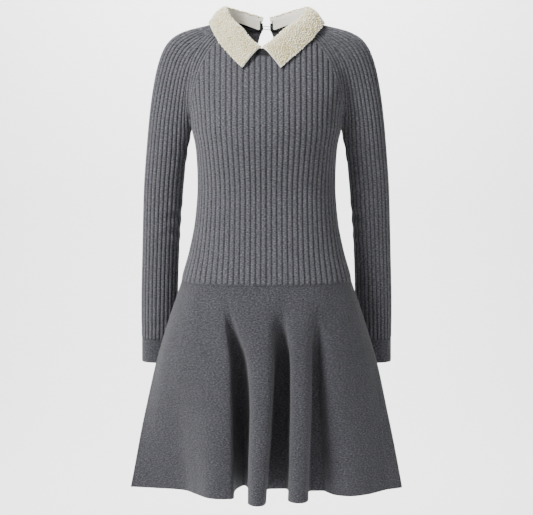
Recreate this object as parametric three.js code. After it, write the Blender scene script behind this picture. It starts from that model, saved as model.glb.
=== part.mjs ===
// A long-sleeved sweater dress, filled out as if worn: ribbed raglan bodice and sleeves, plain knit
// cuffs and neckband, a flared plain knit skirt with deep folds, and a two-leaf pointed collar.
// Millimetres, +Z up, front towards -Y. The origin is between the shoulders, at neck height.
import * as THREE from 'three';

// Driving dimensions
const KNIT_WALL = 1.6;
const RIB_RELIEF = 1.2;
const SEAM_GAP = 0.3;
const RAGLAN_GAP = 1;
const ARMPIT_GAP = 0.5;
const COLLAR_WALL = 2.0;
const NECKBAND_RISE = { front: 6.5, back: 11.5 };
const SIDE_SEAM_Z = -463;
const WAIST_SEAM_FRONT_RISE = 8;
const ARMPIT_Z = -179.7;
const HEM_Z = -832.5;
const CUFF_TOP_Z = -571;
const CUFF_END_Z = -615;

// Ribs: counted on half of the front, and on half of a sleeve
const RIBS_QUARTER = 19;
const RIBS_HALF_SLEEVE = 13;
const RAGLAN_BAND = 17;
const BAND_ROWS = 3;
const END_SPACING = 11.5;
const MOST_EXTRA = 5;

// Bodice sections: half width from the front outline, depth to front and back, corner power,
// and the width of one rib at the middle of the panel.
const TORSO = [
  { z: -472, width: 159.5, front: 114, back: 114, power: 2.45, rib: 9.4 },
  { z: -463, width: 156.8, front: 112, back: 112, power: 2.45, rib: 9.4 },
  { z: -425, width: 145.1, front: 105, back: 106, power: 2.45, rib: 9.3 },
  { z: -398, width: 137.7, front: 100, back: 102, power: 2.4, rib: 9.2 },
  { z: -352, width: 128.1, front: 94, back: 96, power: 2.4, rib: 9.1 },
  { z: -300, width: 122.6, front: 92, back: 91, power: 2.4, rib: 9.0 },
  { z: -269, width: 122.1, front: 96, back: 91, power: 2.4, rib: 9.1 },
  { z: -238, width: 123.3, front: 104, back: 93, power: 2.4, rib: 9.4 },
  { z: -207, width: 126.2, front: 111, back: 96, power: 2.4, rib: 9.7 },
  { z: -179.7, width: 132.2, front: 114, back: 98, power: 2.4, rib: 9.9 },
  { z: -150, width: 135.6, front: 109.5, back: 97.5, power: 2.4, rib: 9.9 },
  { z: -120, width: 141, front: 99.5, back: 96, power: 2.4, rib: 9.9 },
  { z: -90, width: 143, front: 88, back: 92, power: 2.35, rib: 9.9 },
  { z: -60, width: 137, front: 75, back: 84, power: 2.35, rib: 9.9 },
  { z: -35, width: 123, front: 63, back: 74, power: 2.35, rib: 9.9 },
  { z: -10, width: 107, front: 47, back: 63, power: 2.35, rib: 9.9 },
  { z: 10, width: 92, front: 38, back: 56, power: 2.35, rib: 9.9 },
];

// Raglan seams: distance from the middle at each height
const RAGLAN_FRONT = [
  { z: -179.7, x: 132.2 },
  { z: -156, x: 132.8 },
  { z: -130, x: 133.2 },
  { z: -109, x: 131.6 },
  { z: -89, x: 127.8 },
  { z: -68, x: 121.8 },
  { z: -52, x: 114 },
  { z: -38, x: 104.8 },
  { z: -25, x: 93.7 },
  { z: -12.4, x: 77 },
];
const RAGLAN_BACK = [
  { z: -179.7, x: 132.2 },
  { z: -156, x: 132.6 },
  { z: -128, x: 131 },
  { z: -100, x: 126 },
  { z: -72, x: 117.5 },
  { z: -45, x: 105 },
  { z: -20, x: 90 },
  { z: 4, x: 73 },
];

// Neckline height over the front and back panels
const NECK = { frontMiddle: -54, frontPower: 2.2, backMiddle: 0, borderDepth: 9 };

// Sleeve below the armpit: outer and inner edge of each section, and how far back it hangs
const SLEEVE = [
  { z: -615, outer: 234.5, inner: 172, back: 85, innerBack: 85 },
  { z: -571, outer: 233.5, inner: 170.2, back: 79, innerBack: 79 },
  { z: -513, outer: 232, inner: 167.6, back: 71, innerBack: 71 },
  { z: -450, outer: 229.6, inner: 165.4, back: 61, innerBack: 61 },
  { z: -388, outer: 227, inner: 161.4, back: 50, innerBack: 50 },
  { z: -326, outer: 223.8, inner: 156.6, back: 38, innerBack: 37 },
  { z: -280, outer: 221, inner: 152.2, back: 28, innerBack: 26 },
  { z: -235, outer: 216.8, inner: 146.4, back: 19, innerBack: 16 },
  { z: -200, outer: 213.6, inner: 139, back: 13, innerBack: 7 },
  { z: -179.7, outer: 211.3, inner: 132.6, back: 10, innerBack: 0 },
];
const SLEEVE_DEPTH = 0.86;

// Top line of the sleeve cap, from the armpit section (0) to the neck (1)
const CAP_TOP = [
  { at: 0, x: 211.3, y: 10, z: -177 },
  { at: 0.2, x: 206.2, y: 8, z: -121 },
  { at: 0.35, x: 199.5, y: 6, z: -84 },
  { at: 0.5, x: 189, y: 4, z: -50 },
  { at: 0.6, x: 179, y: 3, z: -31.5 },
  { at: 0.7, x: 163, y: 2, z: -16.5 },
  { at: 0.8, x: 138, y: 3, z: -6.5 },
  { at: 0.9, x: 108, y: 4, z: 0.5 },
  { at: 1, x: 80, y: 5, z: 8.5 },
];
const ARMPIT_OPENS_OVER = 0.42;
const ARMPIT_UNROLLS_AT = 34;
const SLEEVE_RIBS_AT_NECK = 5;

// Skirt sections, each an ellipse before the folds
const SKIRT = [
  { z: -463, width: 156.8, front: 112, back: 112, middle: 0 },
  { z: -478, width: 161.7, front: 114, back: 114, middle: -1 },
  { z: -508, width: 172.5, front: 116, back: 119, middle: -4 },
  { z: -539, width: 183.2, front: 117, back: 125, middle: -7 },
  { z: -563, width: 191.1, front: 117, back: 130, middle: -9 },
  { z: -603, width: 202.5, front: 116, back: 138, middle: -11 },
  { z: -664, width: 216, front: 114, back: 145, middle: -12 },
  { z: -729.5, width: 229.6, front: 112, back: 150, middle: -12 },
  { z: -802, width: 243.1, front: 110, back: 153, middle: -11 },
  { z: -832.5, width: 248.9, front: 109, back: 154, middle: -10 },
];

// Hem line: turn is the place round the waist seam in degrees (180 wearer's right, 270 front)
const FOLDS = [
  { name: 'right side', turn: 180, x: -248.9, y: -10 },
  { name: 'right panel', turn: 196, x: -206, y: -31 },
  { name: 'right hollow', turn: 210, x: -150, y: -44 },
  { name: 'fold 1 rise', turn: 220, x: -116, y: -74 },
  { name: 'fold 1 crest', turn: 229, x: -88, y: -97 },
  { name: 'fold 1 fall', turn: 236, x: -62, y: -76 },
  { name: 'valley 1', turn: 241, x: -46, y: -8 },
  { name: 'fold 2 rise', turn: 248, x: -35, y: -104 },
  { name: 'fold 2 crest', turn: 257, x: -18.5, y: -136 },
  { name: 'fold 2 fall', turn: 266, x: -2, y: -108 },
  { name: 'valley 2', turn: 276, x: 17, y: -22 },
  { name: 'fold 3 rise', turn: 284, x: 36, y: -98 },
  { name: 'fold 3 crest', turn: 291, x: 56, y: -118 },
  { name: 'fold 3 fall', turn: 297, x: 77, y: -92 },
  { name: 'valley 3', turn: 303, x: 97, y: -36 },
  { name: 'fold 4 crest', turn: 318, x: 150, y: -73 },
  { name: 'left hollow', turn: 338, x: 202, y: -44 },
  { name: 'left side', turn: 360, x: 248.9, y: -10 },
  { name: 'back fold 1', turn: 374, x: 226, y: 52 },
  { name: 'back valley 1', turn: 386, x: 172, y: 62 },
  { name: 'back fold 2', turn: 398, x: 148, y: 122 },
  { name: 'back valley 2', turn: 411, x: 103, y: 72 },
  { name: 'back fold 3', turn: 423, x: 76, y: 146 },
  { name: 'back valley 3', turn: 437, x: 38, y: 64 },
  { name: 'back fold 4', turn: 451, x: 4, y: 154 },
  { name: 'back valley 4', turn: 465, x: -34, y: 68 },
  { name: 'back fold 5', turn: 478, x: -74, y: 144 },
  { name: 'back valley 5', turn: 490, x: -106, y: 74 },
  { name: 'back fold 6', turn: 502, x: -146, y: 120 },
  { name: 'back valley 6', turn: 514, x: -170, y: 60 },
  { name: 'back fold 7', turn: 526, x: -226, y: 50 },
];
const FOLDS_START = 0.02;
const FOLDS_FULL = 0.62;
const SKIRT_COLUMNS = 44;
const SKIRT_ROWS = [0, 0.06, 0.15, 0.26, 0.38, 0.52, 0.7, 0.86, 1];

// Keyhole in the back, below the neckline: half width at each height
const KEYHOLE = [
  { z: -95, half: 0 },
  { z: -84, half: 7.5 },
  { z: -66, half: 14 },
  { z: -45, half: 17 },
  { z: -28, half: 16 },
  { z: -12, half: 12 },
  { z: 0, half: 6.5 },
];
const KEYHOLE_SPREAD = 40;

// Collar leaf: roll line and outer edge, from the front end (0) to the back end (1).
// lift is the height of the inner start of the leaf below the roll, stand that of the stand's foot.
const COLLAR = [
  { at: 0, rollX: 1.2, rollY: -66.5, rollZ: -39.5, edgeX: 33.4, edgeY: -87, edgeZ: -75.5, lift: 5, stand: 12 },
  { at: 0.12, rollX: 20, rollY: -60, rollZ: -25, edgeX: 56, edgeY: -74, edgeZ: -54, lift: 6, stand: 15 },
  { at: 0.24, rollX: 37, rollY: -50, rollZ: -7, edgeX: 77, edgeY: -58, edgeZ: -32, lift: 7, stand: 18 },
  { at: 0.37, rollX: 58, rollY: -34, rollZ: 10, edgeX: 93, edgeY: -38, edgeZ: -10, lift: 8, stand: 21 },
  { at: 0.48, rollX: 69.5, rollY: -16, rollZ: 26, edgeX: 100.5, edgeY: -14, edgeZ: 3.5, lift: 9, stand: 23 },
  { at: 0.58, rollX: 73, rollY: 6, rollZ: 35, edgeX: 101.5, edgeY: 10, edgeZ: 6.5, lift: 9, stand: 24 },
  { at: 0.7, rollX: 63, rollY: 31, rollZ: 33, edgeX: 94, edgeY: 39, edgeZ: 1, lift: 9, stand: 25 },
  { at: 0.82, rollX: 43.5, rollY: 48, rollZ: 29.5, edgeX: 71, edgeY: 60, edgeZ: -9, lift: 9, stand: 26 },
  { at: 0.92, rollX: 21.5, rollY: 55, rollZ: 27, edgeX: 37, edgeY: 71, edgeZ: -15, lift: 9, stand: 27 },
  { at: 1, rollX: 6.5, rollY: 56.8, rollZ: 25.6, edgeX: 8, edgeY: 74, edgeZ: -18, lift: 9, stand: 27.5 },
];
const COLLAR_FRONT_SHIFT = -8.6;
const COLLAR_STATIONS = 14;
const LEAF_STEPS = [0, 0.12, 0.3, 0.55, 0.8, 1];

// Back fastening: a wire eye sewn to the left end of the neckband, and a hook to the right end.
// Each row is one point of the upper half of the wire; the lower half mirrors it below the middle.
const FASTENER = { wire: 0.5, height: 3.3 };
const EYE_WIRE = [
  { x: 13, y: 60.2, rise: 2.1 },
  { x: 6, y: 60.2, rise: 2.1 },
  { x: -0.6, y: 60.2, rise: 2.1 },
  { x: -2.6, y: 60.2, rise: 0 },
];
const HOOK_WIRE = [
  { x: -13, y: 60.2, rise: 1.6 },
  { x: -7.5, y: 60.2, rise: 1.6 },
  { x: -4.2, y: 61.6, rise: 1.2 },
  { x: -1.2, y: 61.6, rise: 1 },
  { x: 0.7, y: 60.4, rise: 0 },
];

// Colours
const knit = new THREE.MeshStandardMaterial({ color: 0x5f5f66, roughness: 0.9, metalness: 0 });
const knitDark = new THREE.MeshStandardMaterial({ color: 0x3b3b40, roughness: 0.9, metalness: 0 });
const skirtKnit = new THREE.MeshStandardMaterial({ color: 0x606067, roughness: 0.92, metalness: 0 });
const beaded = new THREE.MeshStandardMaterial({ color: 0xe6e0cc, roughness: 0.4, metalness: 0 });
const ivory = new THREE.MeshStandardMaterial({ color: 0xe2ddd0, roughness: 0.8, metalness: 0 });
const steel = new THREE.MeshStandardMaterial({ color: 0x8a8c90, roughness: 0.35, metalness: 1 });

const mix = (a, b, share) => a + (b - a) * share;
const clamp01 = (value) => Math.min(1, Math.max(0, value));

function easeBetween(low, high, value) {
  const share = clamp01((value - low) / (high - low));
  return share * share * (3 - 2 * share);
}

// A smooth curve through one column of a table, by the table's key column
function through(rows, key, column) {
  const k = rows.map((row) => row[key]);
  const v = rows.map((row) => row[column]);
  const last = k.length - 1;
  const slope = (i) => (v[i + 1] - v[i]) / (k[i + 1] - k[i]);
  const tangent = k.map((_, i) => {
    if (i === 0) return slope(0);
    if (i === last) return slope(last - 1);
    return (v[i + 1] - v[i - 1]) / (k[i + 1] - k[i - 1]);
  });
  return (at) => {
    const place = Math.min(k[last], Math.max(k[0], at));
    let i = 0;
    while (i < last - 1 && place > k[i + 1]) i += 1;
    const span = k[i + 1] - k[i];
    const u = (place - k[i]) / span;
    const rise = v[i] * (1 + 2 * u) * (1 - u) ** 2 + v[i + 1] * u * u * (3 - 2 * u);
    return rise + span * (tangent[i] * u * (1 - u) ** 2 + tangent[i + 1] * u * u * (u - 1));
  };
}

function curvesOf(rows, key) {
  const names = Object.keys(rows[0]).filter((name) => name !== key && name !== 'name');
  return Object.fromEntries(names.map((name) => [name, through(rows, key, name)]));
}

const torso = curvesOf(TORSO, 'z');
const raglan = { front: through(RAGLAN_FRONT, 'z', 'x'), back: through(RAGLAN_BACK, 'z', 'x') };
const raglanTop = { front: RAGLAN_FRONT.at(-1).z, back: RAGLAN_BACK.at(-1).z };
const sleeve = curvesOf(SLEEVE, 'z');
const capTop = curvesOf(CAP_TOP, 'at');
const skirt = curvesOf([...SKIRT].reverse(), 'z');
const keyhole = through(KEYHOLE, 'z', 'half');
const collar = curvesOf(COLLAR, 'at');

// Closed solid from a grid of wall columns. Every column holds outer and inner points, row by row.
// Columns marked fine have no inner points of their own: the inside stays plain behind them.
function wall(columns, { firstEdgeFrom = 0, lastEdgeFrom = 0 } = {}) {
  const corners = [];
  const add = (a, b, c) => corners.push(a, b, c);
  const rows = columns[0].outer.length;
  const quad = (a, b, c, d) => {
    add(a, b, c);
    add(a, c, d);
  };
  for (let c = 0; c + 1 < columns.length; c += 1) {
    for (let r = 0; r + 1 < rows; r += 1) {
      const [p, q] = [columns[c].outer, columns[c + 1].outer];
      quad(p[r], q[r], q[r + 1], p[r + 1]);
    }
  }
  const coarse = columns.map((_, c) => c).filter((c) => !columns[c].fine);
  for (let i = 0; i + 1 < coarse.length; i += 1) {
    const [from, to] = [coarse[i], coarse[i + 1]];
    const [p, q] = [columns[from].inner, columns[to].inner];
    for (let r = 0; r + 1 < rows; r += 1) quad(q[r], p[r], p[r + 1], q[r + 1]);
    const turn = Math.floor((from + to) / 2);
    for (const [r, flip] of [[0, false], [rows - 1, true]]) {
      const face = (a, b, d) => (flip ? add(b, a, d) : add(a, b, d));
      for (let c = from; c < to; c += 1) {
        face(columns[c + 1].outer[r], columns[c].outer[r], (c < turn ? p : q)[r]);
      }
      face(columns[turn].outer[r], p[r], q[r]);
    }
  }
  const edge = (column, start, flip) => {
    for (let r = start; r + 1 < rows; r += 1) {
      const { outer, inner } = column;
      if (flip) quad(inner[r], outer[r], outer[r + 1], inner[r + 1]);
      else quad(outer[r], inner[r], inner[r + 1], outer[r + 1]);
    }
  };
  edge(columns[0], firstEdgeFrom, true);
  edge(columns.at(-1), lastEdgeFrom, false);
  return corners;
}

// Triangles whose corners meet are dropped, and the rest become one geometry
function geometryOf(corners, mirrored = false) {
  const sharp = 1e-4;
  const key = (p) => `${Math.round(p.x / sharp)},${Math.round(p.y / sharp)},${Math.round(p.z / sharp)}`;
  const positions = [];
  for (let i = 0; i < corners.length; i += 3) {
    const face = mirrored ? [corners[i + 1], corners[i], corners[i + 2]] : corners.slice(i, i + 3);
    const keys = face.map(key);
    if (new Set(keys).size === 3) face.forEach((p) => positions.push(mirrored ? -p.x : p.x, p.y, p.z));
  }
  const geometry = new THREE.BufferGeometry();
  geometry.setAttribute('position', new THREE.Float32BufferAttribute(positions, 3));
  return geometry;
}

// Length along a curve that is given as a function of 0 to 1, and its inverse
function measured(curve, steps = 40) {
  const lengths = [0];
  let previous = curve(0);
  for (let i = 1; i <= steps; i += 1) {
    const point = curve(i / steps);
    lengths.push(lengths[i - 1] + point.distanceTo(previous));
    previous = point;
  }
  const shareAt = (length) => {
    let i = 0;
    while (i < steps - 1 && lengths[i + 1] < length) i += 1;
    return clamp01((i + (length - lengths[i]) / (lengths[i + 1] - lengths[i])) / steps);
  };
  return { total: lengths[steps], at: (length) => curve(shareAt(length)), shareAt };
}

const memory = new Map();
function remembered(name, make) {
  if (!memory.has(name)) memory.set(name, make());
  return memory.get(name);
}

// Bodice surface
const facing = { front: -1, back: 1 };

function sliceCurve(face, z) {
  const [a, d, power] = [torso.width(z), torso[face](z), 2 / torso.power(z)];
  return (share) => {
    const angle = (share * Math.PI) / 2;
    const y = facing[face] * d * Math.cos(angle) ** power;
    return new THREE.Vector3(a * Math.sin(angle) ** power, share >= 1 ? 0 : y, z);
  };
}

const slice = (face, z) => remembered(`${face} ${z.toFixed(3)}`, () => measured(sliceCurve(face, z)));

function seamLength(face, z) {
  const [a, x, power] = [torso.width(z), raglan[face](z), torso.power(z)];
  if (x >= a) return slice(face, z).total;
  const angle = Math.asin((x / a) ** (power / 2));
  const curve = sliceCurve(face, z);
  const share = angle / (Math.PI / 2);
  let length = 0;
  let previous = curve(0);
  for (let i = 1; i <= 40; i += 1) {
    const point = curve((share * i) / 40);
    length += point.distanceTo(previous);
    previous = point;
  }
  return length;
}

function bodyPoint(face, length, z) {
  const point = slice(face, z).at(Math.abs(length));
  if (length < 0) point.x = -point.x;
  return point;
}

function bodyNormal(face, point) {
  const value = (p) => {
    const [a, d, n] = [torso.width(p.z), torso[face](p.z), torso.power(p.z)];
    return (Math.abs(p.x) / a) ** n + (Math.abs(p.y) / d) ** n;
  };
  const step = 0.05;
  const along = (axis) => {
    const [low, high] = [point.clone(), point.clone()];
    low[axis] -= step;
    high[axis] += step;
    return value(high) - value(low);
  };
  return new THREE.Vector3(along('x'), along('y'), along('z')).normalize();
}

// How far from the middle a rib runs: even in the middle, and taking up the rest towards the side
function ribLength(face, rib, z) {
  const level = Math.min(z, ARMPIT_Z);
  const total = slice(face, level).total;
  const middle = torso.rib(level) * RIBS_QUARTER;
  const share = Math.abs(rib) / RIBS_QUARTER;
  return Math.sign(rib) * (middle * share + (total - middle) * share ** 3);
}

function necklineZ(face, x) {
  const end = raglanTop[face];
  const middle = face === 'front' ? NECK.frontMiddle : NECK.backMiddle;
  return mix(middle, end, (Math.abs(x) / raglan[face](end)) ** NECK.frontPower);
}

const bandWidth = (level) => RAGLAN_BAND * easeBetween(0, 0.3, level);
const capLevel = (face, z) => clamp01((z - ARMPIT_Z) / (raglanTop[face] - ARMPIT_Z));

// Where the straight run of a rib ends, and the point of the panel's edge that it is led to
function bodyRibEnd(face, rib) {
  const length = Math.abs(ribLength(face, rib, 0));
  const step = 0.5;
  let z = ARMPIT_Z;
  while (z < raglanTop[face]) {
    const seam = seamLength(face, z);
    if (seam - bandWidth(capLevel(face, z)) <= length) return { z, edgeLength: seam, edgeZ: z, atNeck: false };
    const x = bodyPoint(face, length, z).x;
    if (z >= necklineZ(face, x) - NECK.borderDepth) {
      return { z, edgeLength: length, edgeZ: necklineZ(face, x), atNeck: true };
    }
    z += step;
  }
  return { z, edgeLength: length, edgeZ: z, atNeck: true };
}

const ribHeight = (rib) => 1 - Math.abs(((((rib % 1) + 1) % 1) - 0.5) * 2);

// Rib places over half a panel: a groove and a crest for each rib, and more where the ends lie apart
function ribPlaces(count, endOf) {
  const places = [];
  for (let i = 0; i <= count * 2; i += 1) places.push({ rib: i / 2, fine: i % 2 === 1 });
  const result = [places[0]];
  for (let i = 1; i < places.length; i += 1) {
    const apart = endOf(places[i - 1].rib).distanceTo(endOf(places[i].rib));
    const extra = Math.min(MOST_EXTRA, Math.floor(apart / END_SPACING));
    for (let e = 1; e <= extra; e += 1) {
      result.push({ rib: mix(places[i - 1].rib, places[i].rib, e / (extra + 1)), fine: true });
    }
    result.push(places[i]);
  }
  return result;
}

function bodyColumns(face, rows, mirror) {
  const edgeOf = (rib) => {
    const end = bodyRibEnd(face, rib);
    return bodyPoint(face, end.edgeLength, end.edgeZ);
  };
  const places = ribPlaces(RIBS_QUARTER, edgeOf);
  const neckPlaces = places.filter((place) => bodyRibEnd(face, place.rib).atNeck);
  const corner = neckPlaces.at(-1).rib;
  return places.map(({ rib, fine }) => {
    const end = bodyRibEnd(face, rib);
    if (rib === corner) {
      end.edgeZ = raglanTop[face];
      end.edgeLength = seamLength(face, end.edgeZ);
    }
    const column = { outer: [], inner: [], fine };
    const seamZ = SIDE_SEAM_Z + WAIST_SEAM_FRONT_RISE * (1 - (rib / RIBS_QUARTER) ** 2);
    const put = (length, z, height) => {
      const gap = length > seamLength(face, z) - RAGLAN_GAP || rib === RIBS_QUARTER ? SEAM_GAP / 2 : 0;
      const spread = face === 'back' ? keyhole(z) * Math.exp(-((length / KEYHOLE_SPREAD) ** 2)) : 0;
      const point = bodyPoint(face, length - gap + (z > KEYHOLE[0].z + 3 ? spread : 0), z);
      const normal = bodyNormal(face, point);
      if (z < SIDE_SEAM_Z + 20) normal.setZ(0).normalize();
      const outer = point.clone().addScaledVector(normal, RIB_RELIEF * height);
      const inner = point.clone().addScaledVector(normal, -KNIT_WALL);
      if (mirror) [outer, inner].forEach((p) => { p.x = -p.x; });
      column.outer.push(outer);
      column.inner.push(inner);
    };
    const calm = rib > RIBS_QUARTER - 1 ? 0.4 : 1;
    for (const share of rows) {
      const z = mix(seamZ, end.z, share);
      const nearArmpit = 1 - easeBetween(30, 8, Math.abs(z - ARMPIT_Z)) * easeBetween(15, 18, rib);
      put(ribLength(face, rib, z), z, ribHeight(rib) * calm * nearArmpit);
    }
    const startLength = Math.abs(ribLength(face, rib, end.z));
    for (let row = 1; row <= BAND_ROWS; row += 1) {
      const share = row / BAND_ROWS;
      const z = mix(end.z, end.edgeZ, share);
      const length = mix(startLength, end.edgeLength - RAGLAN_GAP / 2, share);
      const open = easeBetween(0.08, 0.3, capLevel(face, end.z));
      const bandRib = row < BAND_ROWS && !end.atNeck ? open * (row % 2) : 0;
      const neckRib = row < BAND_ROWS && end.atNeck ? ribHeight(rib) * (1 - share) : 0;
      put(length, z, bandRib + neckRib);
    }
    return column;
  });
}

function bodiceFront() {
  const rows = [0, 0.15, 0.3, 0.45, 0.58, 0.7, 0.86, 1];
  const right = bodyColumns('front', rows, true);
  const left = bodyColumns('front', rows, false);
  return geometryOf(wall([...right.reverse(), ...left.slice(1)]));
}

function bodiceBack() {
  const seamZ = SIDE_SEAM_Z + WAIST_SEAM_FRONT_RISE;
  const top = NECK.backMiddle - NECK.borderDepth;
  const shareOf = (z) => (z - seamZ) / (top - seamZ);
  const rows = [0, 0.17, 0.35, 0.55, shareOf(-95), shareOf(-82), shareOf(-60), shareOf(-34), 1];
  const slitRow = 4;
  const left = bodyColumns('back', rows, false);
  const right = bodyColumns('back', rows, true);
  const leftHalf = wall(left.reverse(), { lastEdgeFrom: slitRow });
  const rightHalf = wall(right, { firstEdgeFrom: slitRow });
  return geometryOf([...leftHalf, ...rightHalf]);
}

// Sleeve surface, modelled on the wearer's right (-X). level runs from -1 at the cuff over 0 at the
// armpit to 1 at the neck; each section has a front half and a back half from the top line.
function sleeveLine(level) {
  if (level < 0) {
    const z = mix(ARMPIT_Z, CUFF_END_Z, -level);
    return new THREE.Vector3(-sleeve.outer(z), sleeve.back(z), z + 2.7 * (1 + level));
  }
  return new THREE.Vector3(-capTop.x(level), capTop.y(level), capTop.z(level));
}

function sleeveSeam(face, level) {
  if (level < 0) {
    const z = mix(ARMPIT_Z, CUFF_END_Z, -level);
    return new THREE.Vector3(-sleeve.inner(z), sleeve.innerBack(z), z);
  }
  const z = mix(ARMPIT_Z, raglanTop[face], level);
  const point = bodyPoint(face, seamLength(face, z), z);
  return new THREE.Vector3(-point.x - ARMPIT_GAP * (1 - easeBetween(0, 0.25, level)), point.y, z);
}

function hermite(p0, d0, p1, d1, fullness) {
  const chord = p0.distanceTo(p1);
  const turning = d0.angleTo(d1);
  const reach = (chord * fullness) / Math.cos(turning / 4) ** 2;
  return (u) => {
    const [a, b] = [(1 + 2 * u) * (1 - u) ** 2, u * u * (3 - 2 * u)];
    const [c, d] = [u * (1 - u) ** 2, u * u * (u - 1)];
    return new THREE.Vector3()
      .addScaledVector(p0, a)
      .addScaledVector(p1, b)
      .addScaledVector(d0, c * reach)
      .addScaledVector(d1, d * reach);
  };
}

function sleeveCurve(face, level) {
  const toward = facing[face];
  const [top, seam] = [sleeveLine(level), sleeveSeam(face, level)];
  const chord = seam.clone().sub(top);
  const opened = level < 0 ? 0 : easeBetween(0, ARMPIT_OPENS_OVER, level);
  const unrolled = clamp01(Math.abs(seam.y) / ARMPIT_UNROLLS_AT) ** 0.8 * (level > 0 ? 1 : 0);
  let flatAngle = 0;
  const slope = new THREE.Vector3(0, 0, 1);
  if (level >= 0) {
    const length = seamLength(face, seam.z);
    const [here, inside] = [bodyPoint(face, length, seam.z), bodyPoint(face, length - 2, seam.z)];
    flatAngle = Math.atan2(Math.abs(inside.y - here.y), here.x - inside.x);
    const below = bodyPoint(face, seamLength(face, seam.z - 2), seam.z - 2);
    slope.set(-(here.x - below.x) / 2, (here.y - below.y) / 2, 1);
  }
  const angle = toward * ((unrolled - 1) * (Math.PI / 2) + flatAngle * opened);
  const across = Math.hypot(chord.x, chord.y);
  const arrival = new THREE.Vector3(Math.cos(angle) * across, Math.sin(angle) * across, 0)
    .addScaledVector(slope, chord.z * 0.6 * opened)
    .normalize();
  const fullness = mix(SLEEVE_DEPTH, 0.95, opened);
  return hermite(top, new THREE.Vector3(0, toward, 0), seam, arrival, fullness);
}

const sleeveHalf = (face, level) =>
  remembered(`sleeve ${face} ${level.toFixed(4)}`, () => measured(sleeveCurve(face, level)));

function sleeveNormal(face, share, level) {
  const [du, dv] = [0.01, 0.004];
  const [s0, s1] = [Math.max(0, share - du), Math.min(1, share + du)];
  const [l0, l1] = [Math.max(-1, level - dv), Math.min(1, level + dv)];
  const at = (side, s, l) => sleeveHalf(side, l).at(sleeveHalf(side, l).total * s);
  const normalOn = (side) => {
    const around = at(side, s1, level).sub(at(side, s0, level)).multiplyScalar(-facing[side]);
    return around.cross(at(side, share, l1).sub(at(side, share, l0))).normalize();
  };
  // The front and back halves share one normal where they meet
  const meets = share === 0 || (share > 0.9999 && level <= 0);
  return meets ? normalOn('front').add(normalOn('back')).normalize() : normalOn(face);
}

const raglanLength = (face) =>
  remembered(`raglan ${face}`, () => measured((level) => sleeveSeam(face, level), 80));

// The first few ribs run to the neck, and the others end one after another on the raglan seam
function sleeveRibEnd(face, rib) {
  const neckBorder = 0.94;
  if (rib <= SLEEVE_RIBS_AT_NECK) {
    const share = rib / SLEEVE_RIBS_AT_NECK;
    const start = share * (sleeveHalf(face, neckBorder).total - bandWidth(neckBorder));
    return { level: neckBorder, start, edgeLevel: 1, edgeLength: share * sleeveHalf(face, 1).total, atNeck: true };
  }
  const share = (RIBS_HALF_SLEEVE - rib) / (RIBS_HALF_SLEEVE - SLEEVE_RIBS_AT_NECK);
  const level = raglanLength(face).shareAt(share * raglanLength(face).total * 0.97);
  const { total } = sleeveHalf(face, level);
  return { level, start: total - bandWidth(level), edgeLevel: level, edgeLength: total, atNeck: false };
}

function sleeveColumns(face) {
  const edgeOf = (rib) => {
    const end = sleeveRibEnd(face, rib);
    return sleeveHalf(face, end.edgeLevel).at(end.edgeLength);
  };
  const places = ribPlaces(RIBS_HALF_SLEEVE, edgeOf);
  const cuffLevel = (CUFF_TOP_Z + SEAM_GAP - ARMPIT_Z) / (ARMPIT_Z - CUFF_END_Z);
  return places.map(({ rib, fine }) => {
    const end = sleeveRibEnd(face, rib);
    const underarm = (rib / RIBS_HALF_SLEEVE) * sleeveHalf(face, 0).total;
    const column = { outer: [], inner: [], fine };
    const put = (length, level, height) => {
      const half = sleeveHalf(face, level);
      const trimmed = level > 0.001 ? Math.min(length, half.total - RAGLAN_GAP / 2) : length;
      const point = half.at(trimmed);
      const normal = sleeveNormal(face, trimmed / half.total, level);
      column.outer.push(point.clone().addScaledVector(normal, RIB_RELIEF * height));
      column.inner.push(point.clone().addScaledVector(normal, -KNIT_WALL));
    };
    for (const share of [1, 0.75, 0.5, 0.25, 0.08, 0]) {
      const level = cuffLevel * share;
      const armpit = 1 - easeBetween(-0.08, -0.01, level) * easeBetween(10, 12, rib);
      put((rib / RIBS_HALF_SLEEVE) * sleeveHalf(face, level).total, level, ribHeight(rib) * armpit);
    }
    for (const share of [0.22, 0.45, 0.62, 0.8, 1]) {
      put(mix(underarm, end.start, share), end.level * share, ribHeight(rib) * easeBetween(13, 11, rib));
    }
    for (let row = 1; row <= BAND_ROWS; row += 1) {
      const share = row / BAND_ROWS;
      const level = mix(end.level, end.edgeLevel, share);
      const open = easeBetween(0.08, 0.3, end.level);
      const bandRib = row < BAND_ROWS && !end.atNeck ? open * (row % 2) : 0;
      const neckRib = row < BAND_ROWS && end.atNeck ? ribHeight(rib) * (1 - share) : 0;
      put(mix(end.start, end.edgeLength, share), level, bandRib + neckRib);
    }
    return column;
  });
}

function sleeveTube(mirrored) {
  const back = sleeveColumns('back').reverse();
  const front = sleeveColumns('front');
  const rows = back[0].outer.length;
  return geometryOf(wall([...back, ...front.slice(1)], { firstEdgeFrom: rows, lastEdgeFrom: rows }), mirrored);
}

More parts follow.
